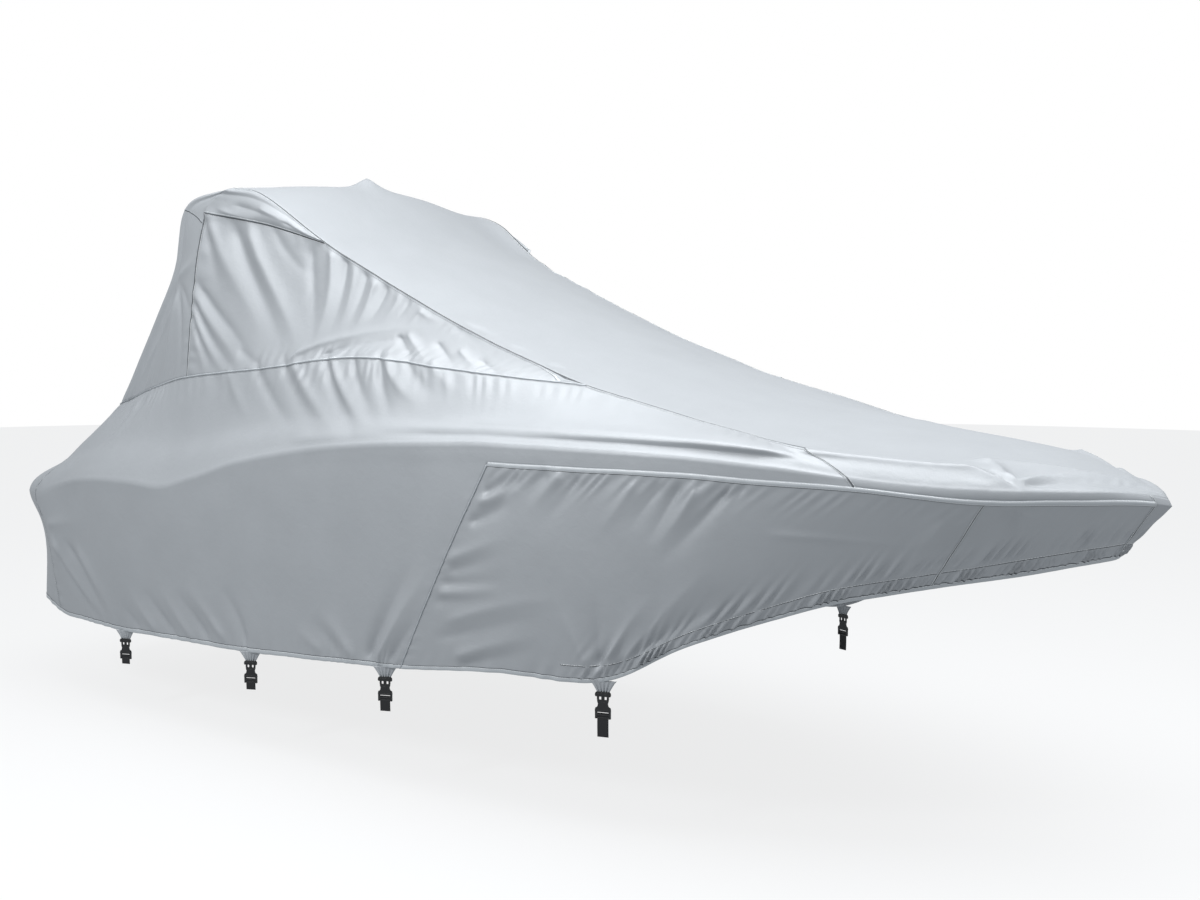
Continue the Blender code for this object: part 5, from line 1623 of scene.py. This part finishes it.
def add_surroundings(strength):
    """Soft light from all round, and a white backdrop for the eye."""
    world = bpy.data.worlds.new("studio")
    bpy.context.scene.world = world
    world.use_nodes = True
    tree = world.node_tree
    glow = tree.nodes["Background"]
    glow.inputs["Color"].default_value = linear(GLOW_HEX)
    glow.inputs["Strength"].default_value = strength
    backdrop = add_node(tree, "ShaderNodeBackground", {"Color": (1.0, 1.0, 1.0, 1.0), "Strength": 1.0})
    seen = add_node(tree, "ShaderNodeLightPath").outputs["Is Camera Ray"]
    links = {0: seen, 1: glow.outputs[0], 2: backdrop.outputs[0]}
    both = add_node(tree, "ShaderNodeMixShader", (), links)
    tree.links.new(both.outputs[0], tree.nodes["World Output"].inputs["Surface"])


def add_lamp(name, power, size, place, aim):
    """A soft rectangular light, aimed at a point."""
    light = bpy.data.lights.new(name, "AREA")
    light.shape = "RECTANGLE"
    light.size, light.size_y = size
    light.energy = power
    lamp = bpy.data.objects.new(name, light)
    lamp.location = place
    lamp.rotation_euler = (Vector(aim) - Vector(place)).to_track_quat("-Z", "Y").to_euler()
    bpy.context.scene.collection.objects.link(lamp)


def add_camera():
    lens = bpy.data.cameras.new("camera")
    lens.lens = LENS
    lens.sensor_width = SENSOR
    lens.clip_end = 200.0
    camera = bpy.data.objects.new("camera", lens)
    camera.location = CAMERA_PLACE
    camera.rotation_euler = [math.radians(angle) for angle in CAMERA_TURN]
    bpy.context.scene.collection.objects.link(camera)
    bpy.context.scene.camera = camera


# ----------------------------------------------------------------------------------------------------
# Settings, operators and panel
# ----------------------------------------------------------------------------------------------------


class CoverShape(bpy.types.PropertyGroup):
    """The cloth's thickness and how lively it is."""

    thickness: FloatProperty(name="Cloth thickness", description="Thickness of the coated cloth",
                             default=0.0014, min=0.001, max=0.003, unit="LENGTH")
    wave_height: FloatProperty(name="Wave height", description="Height of the cloth's soft unevenness",
                               default=0.0030, min=0.0, max=0.02, unit="LENGTH")
    crinkle_height: FloatProperty(name="Crinkle height", description="Height of the small crinkles",
                                  default=0.0005, min=0.0, max=0.005, unit="LENGTH")
    gather_height: FloatProperty(name="Gather height", description="Height of the gathers of the elastic hem",
                                 default=0.0180, min=0.0, max=0.03, unit="LENGTH")


class CoverFinish(bpy.types.PropertyGroup):
    """The cover's colours."""

    top_colour: FloatVectorProperty(name="Top cloth", description="Colour of the top panel, cheeks and tower",
                                    subtype="COLOR", size=3, default=linear(CLOTH_HEX)[:3], min=0, max=1)
    skirt_colour: FloatVectorProperty(name="Skirt cloth", description="Colour of the sides, skirts and stern",
                                      subtype="COLOR", size=3, default=linear(SKIRT_HEX)[:3], min=0, max=1)
    buckle_colour: FloatVectorProperty(name="Buckles", description="Colour of the buckles' acetal",
                                       subtype="COLOR", size=3, default=linear(ACETAL_HEX)[:3], min=0, max=1)
    cloth_roughness: FloatProperty(name="Cloth roughness", description="How matt the coating is",
                                   default=0.52, min=0.0, max=1.0, subtype="FACTOR")
    cloth_metallic: FloatProperty(name="Cloth metallic", description="How much of the coating is metal",
                                  default=0.25, min=0.0, max=1.0, subtype="FACTOR")


class CoverStage(bpy.types.PropertyGroup):
    """The studio."""

    floor_drop: FloatProperty(name="Floor drop", description="Depth of the floor under the held-up point",
                              default=3.16, min=2.9, max=6.0, unit="LENGTH")
    world_strength: FloatProperty(name="World strength", description="Strength of the white surroundings",
                                  default=0.62, min=0.0, max=5.0)
    overhead_power: FloatProperty(name="Overhead power", description="Power of the light over the cover",
                                  default=550.0, min=0.0, max=20000.0, unit="POWER")
    side_power: FloatProperty(name="Side power", description="Power of the soft light from abeam",
                              default=280.0, min=0.0, max=20000.0, unit="POWER")


class BOATCOVER_OT_materials(bpy.types.Operator):
    """Mix the cover's materials"""

    bl_idname = "boatcover.materials"
    bl_label = "Materials"

    def execute(self, context):
        finish = context.scene.cover_finish
        seam = linear(SEAM_HEX)
        edge = linear(HEM_HEX)
        coated_polyester("cloth_top", (*finish.top_colour, 1.0))
        coated_polyester("cloth_skirt", (*finish.skirt_colour, 1.0))
        coated_polyester("cloth_tab", (*finish.top_colour, 1.0))
        # Each seam's last two numbers place its painted shadow line across the seam and give its half width
        topstitched_polyester("cloth_top_seam", seam, (-0.0085, 0.0075), 0.0020, 0.0046)
        topstitched_polyester("cloth_skirt_seam", seam, (-0.0036, 0.0036), 0.0, 0.0022)
        topstitched_polyester("cloth_gunwale_seam", edge, (-0.009, 0.008), 0.0130, 0.0036)
        topstitched_polyester("cloth_hem", edge, (0.021,), 0.0262, 0.0026)
        coated_polyester("cloth_skirt_piping", edge)
        moulded_acetal("acetal", (*finish.buckle_colour, 1.0))
        woven_webbing("webbing", linear(WEBBING_HEX))
        painted_floor("floor", linear(FLOOR_HEX))
        return {"FINISHED"}


class BOATCOVER_OT_top(bpy.types.Operator):
    """Lay the long top panel"""

    bl_idname = "boatcover.top"
    bl_label = "Top panel"

    def execute(self, _context):
        panel = build_top()
        return {"FINISHED"}


class BOATCOVER_OT_tower(bpy.types.Operator):
    """Hang the tower's back, cheeks and sides"""

    bl_idname = "boatcover.tower"
    bl_label = "Tower"

    def execute(self, _context):
        back = build_tower_back()
        for side, sign in SIDES:
            cheek = build_cheek(side, sign)
            wall = build_tower_side(side, sign)
        return {"FINISHED"}


class BOATCOVER_OT_skirts(bpy.types.Operator):
    """Hang the stern, the long sides, the forward skirts and the stem piece"""

    bl_idname = "boatcover.skirts"
    bl_label = "Skirts"

    def execute(self, _context):
        stern = build_stern()
        stem = build_stem()
        for side, sign in SIDES:
            long_side = build_long_side(side, sign)
            fore = build_skirt("fore_skirt", FORE_STRETCHES, side, sign)
            bow = build_skirt("bow_skirt", BOW_STRETCHES, side, sign)
        return {"FINISHED"}


class BOATCOVER_OT_seams(bpy.types.Operator):
    """Sew the seams, the piping, the hem and the elastic's stitching"""

    bl_idname = "boatcover.seams"
    bl_label = "Seams"

    def execute(self, _context):
        for side, sign in SIDES:
            build_seams(side, sign)
        build_cross_seams()
        build_hems()
        return {"FINISHED"}


class BOATCOVER_OT_straps(bpy.types.Operator):
    """Hang the strap sets: tabs, buckles and webbing"""

    bl_idname = "boatcover.straps"
    bl_label = "Straps"

    def execute(self, _context):
        for side, sign in SIDES:
            for row in STRAPS:
                build_strap(side, sign, row)
        return {"FINISHED"}


class BOATCOVER_OT_studio(bpy.types.Operator):
    """Set up the floor, the lights and the camera"""

    bl_idname = "boatcover.studio"
    bl_label = "Studio"

    def execute(self, context):
        stage = context.scene.cover_stage
        add_floor(stage.floor_drop)
        add_surroundings(stage.world_strength)
        add_lamp("overhead", stage.overhead_power, *OVERHEAD)
        add_lamp("abeam", stage.side_power, *ABEAM)
        add_camera()
        context.scene.view_settings.view_transform = "Standard"
        return {"FINISHED"}


STEPS = (
    BOATCOVER_OT_materials,
    BOATCOVER_OT_top,
    BOATCOVER_OT_tower,
    BOATCOVER_OT_skirts,
    BOATCOVER_OT_seams,
    BOATCOVER_OT_straps,
    BOATCOVER_OT_studio,
)


class BOATCOVER_PT_panel(bpy.types.Panel):
    """The cover's steps and settings"""

    bl_idname = "BOATCOVER_PT_panel"
    bl_label = "Boat Cover"
    bl_space_type = "VIEW_3D"
    bl_region_type = "UI"
    bl_category = "Boat Cover"

    def draw(self, context):
        scene = context.scene
        for step in STEPS:
            self.layout.operator(step.bl_idname)
        for group in (scene.cover_shape, scene.cover_finish, scene.cover_stage):
            for name in group.bl_rna.properties.keys():
                if name not in ("rna_type", "name"):
                    self.layout.prop(group, name)


GROUPS = (("cover_shape", CoverShape), ("cover_finish", CoverFinish), ("cover_stage", CoverStage))


def register():
    for name, group in GROUPS:
        bpy.utils.register_class(group)
        setattr(bpy.types.Scene, name, PointerProperty(type=group))
    for step in (*STEPS, BOATCOVER_PT_panel):
        bpy.utils.register_class(step)


def unregister():
    for step in reversed((*STEPS, BOATCOVER_PT_panel)):
        bpy.utils.unregister_class(step)
    for name, group in reversed(GROUPS):
        delattr(bpy.types.Scene, name)
        bpy.utils.unregister_class(group)


def main():
    register()
    for step in STEPS:
        area, name = step.bl_idname.split(".")
        getattr(getattr(bpy.ops, area), name)()


if __name__ == "__main__":
    main()
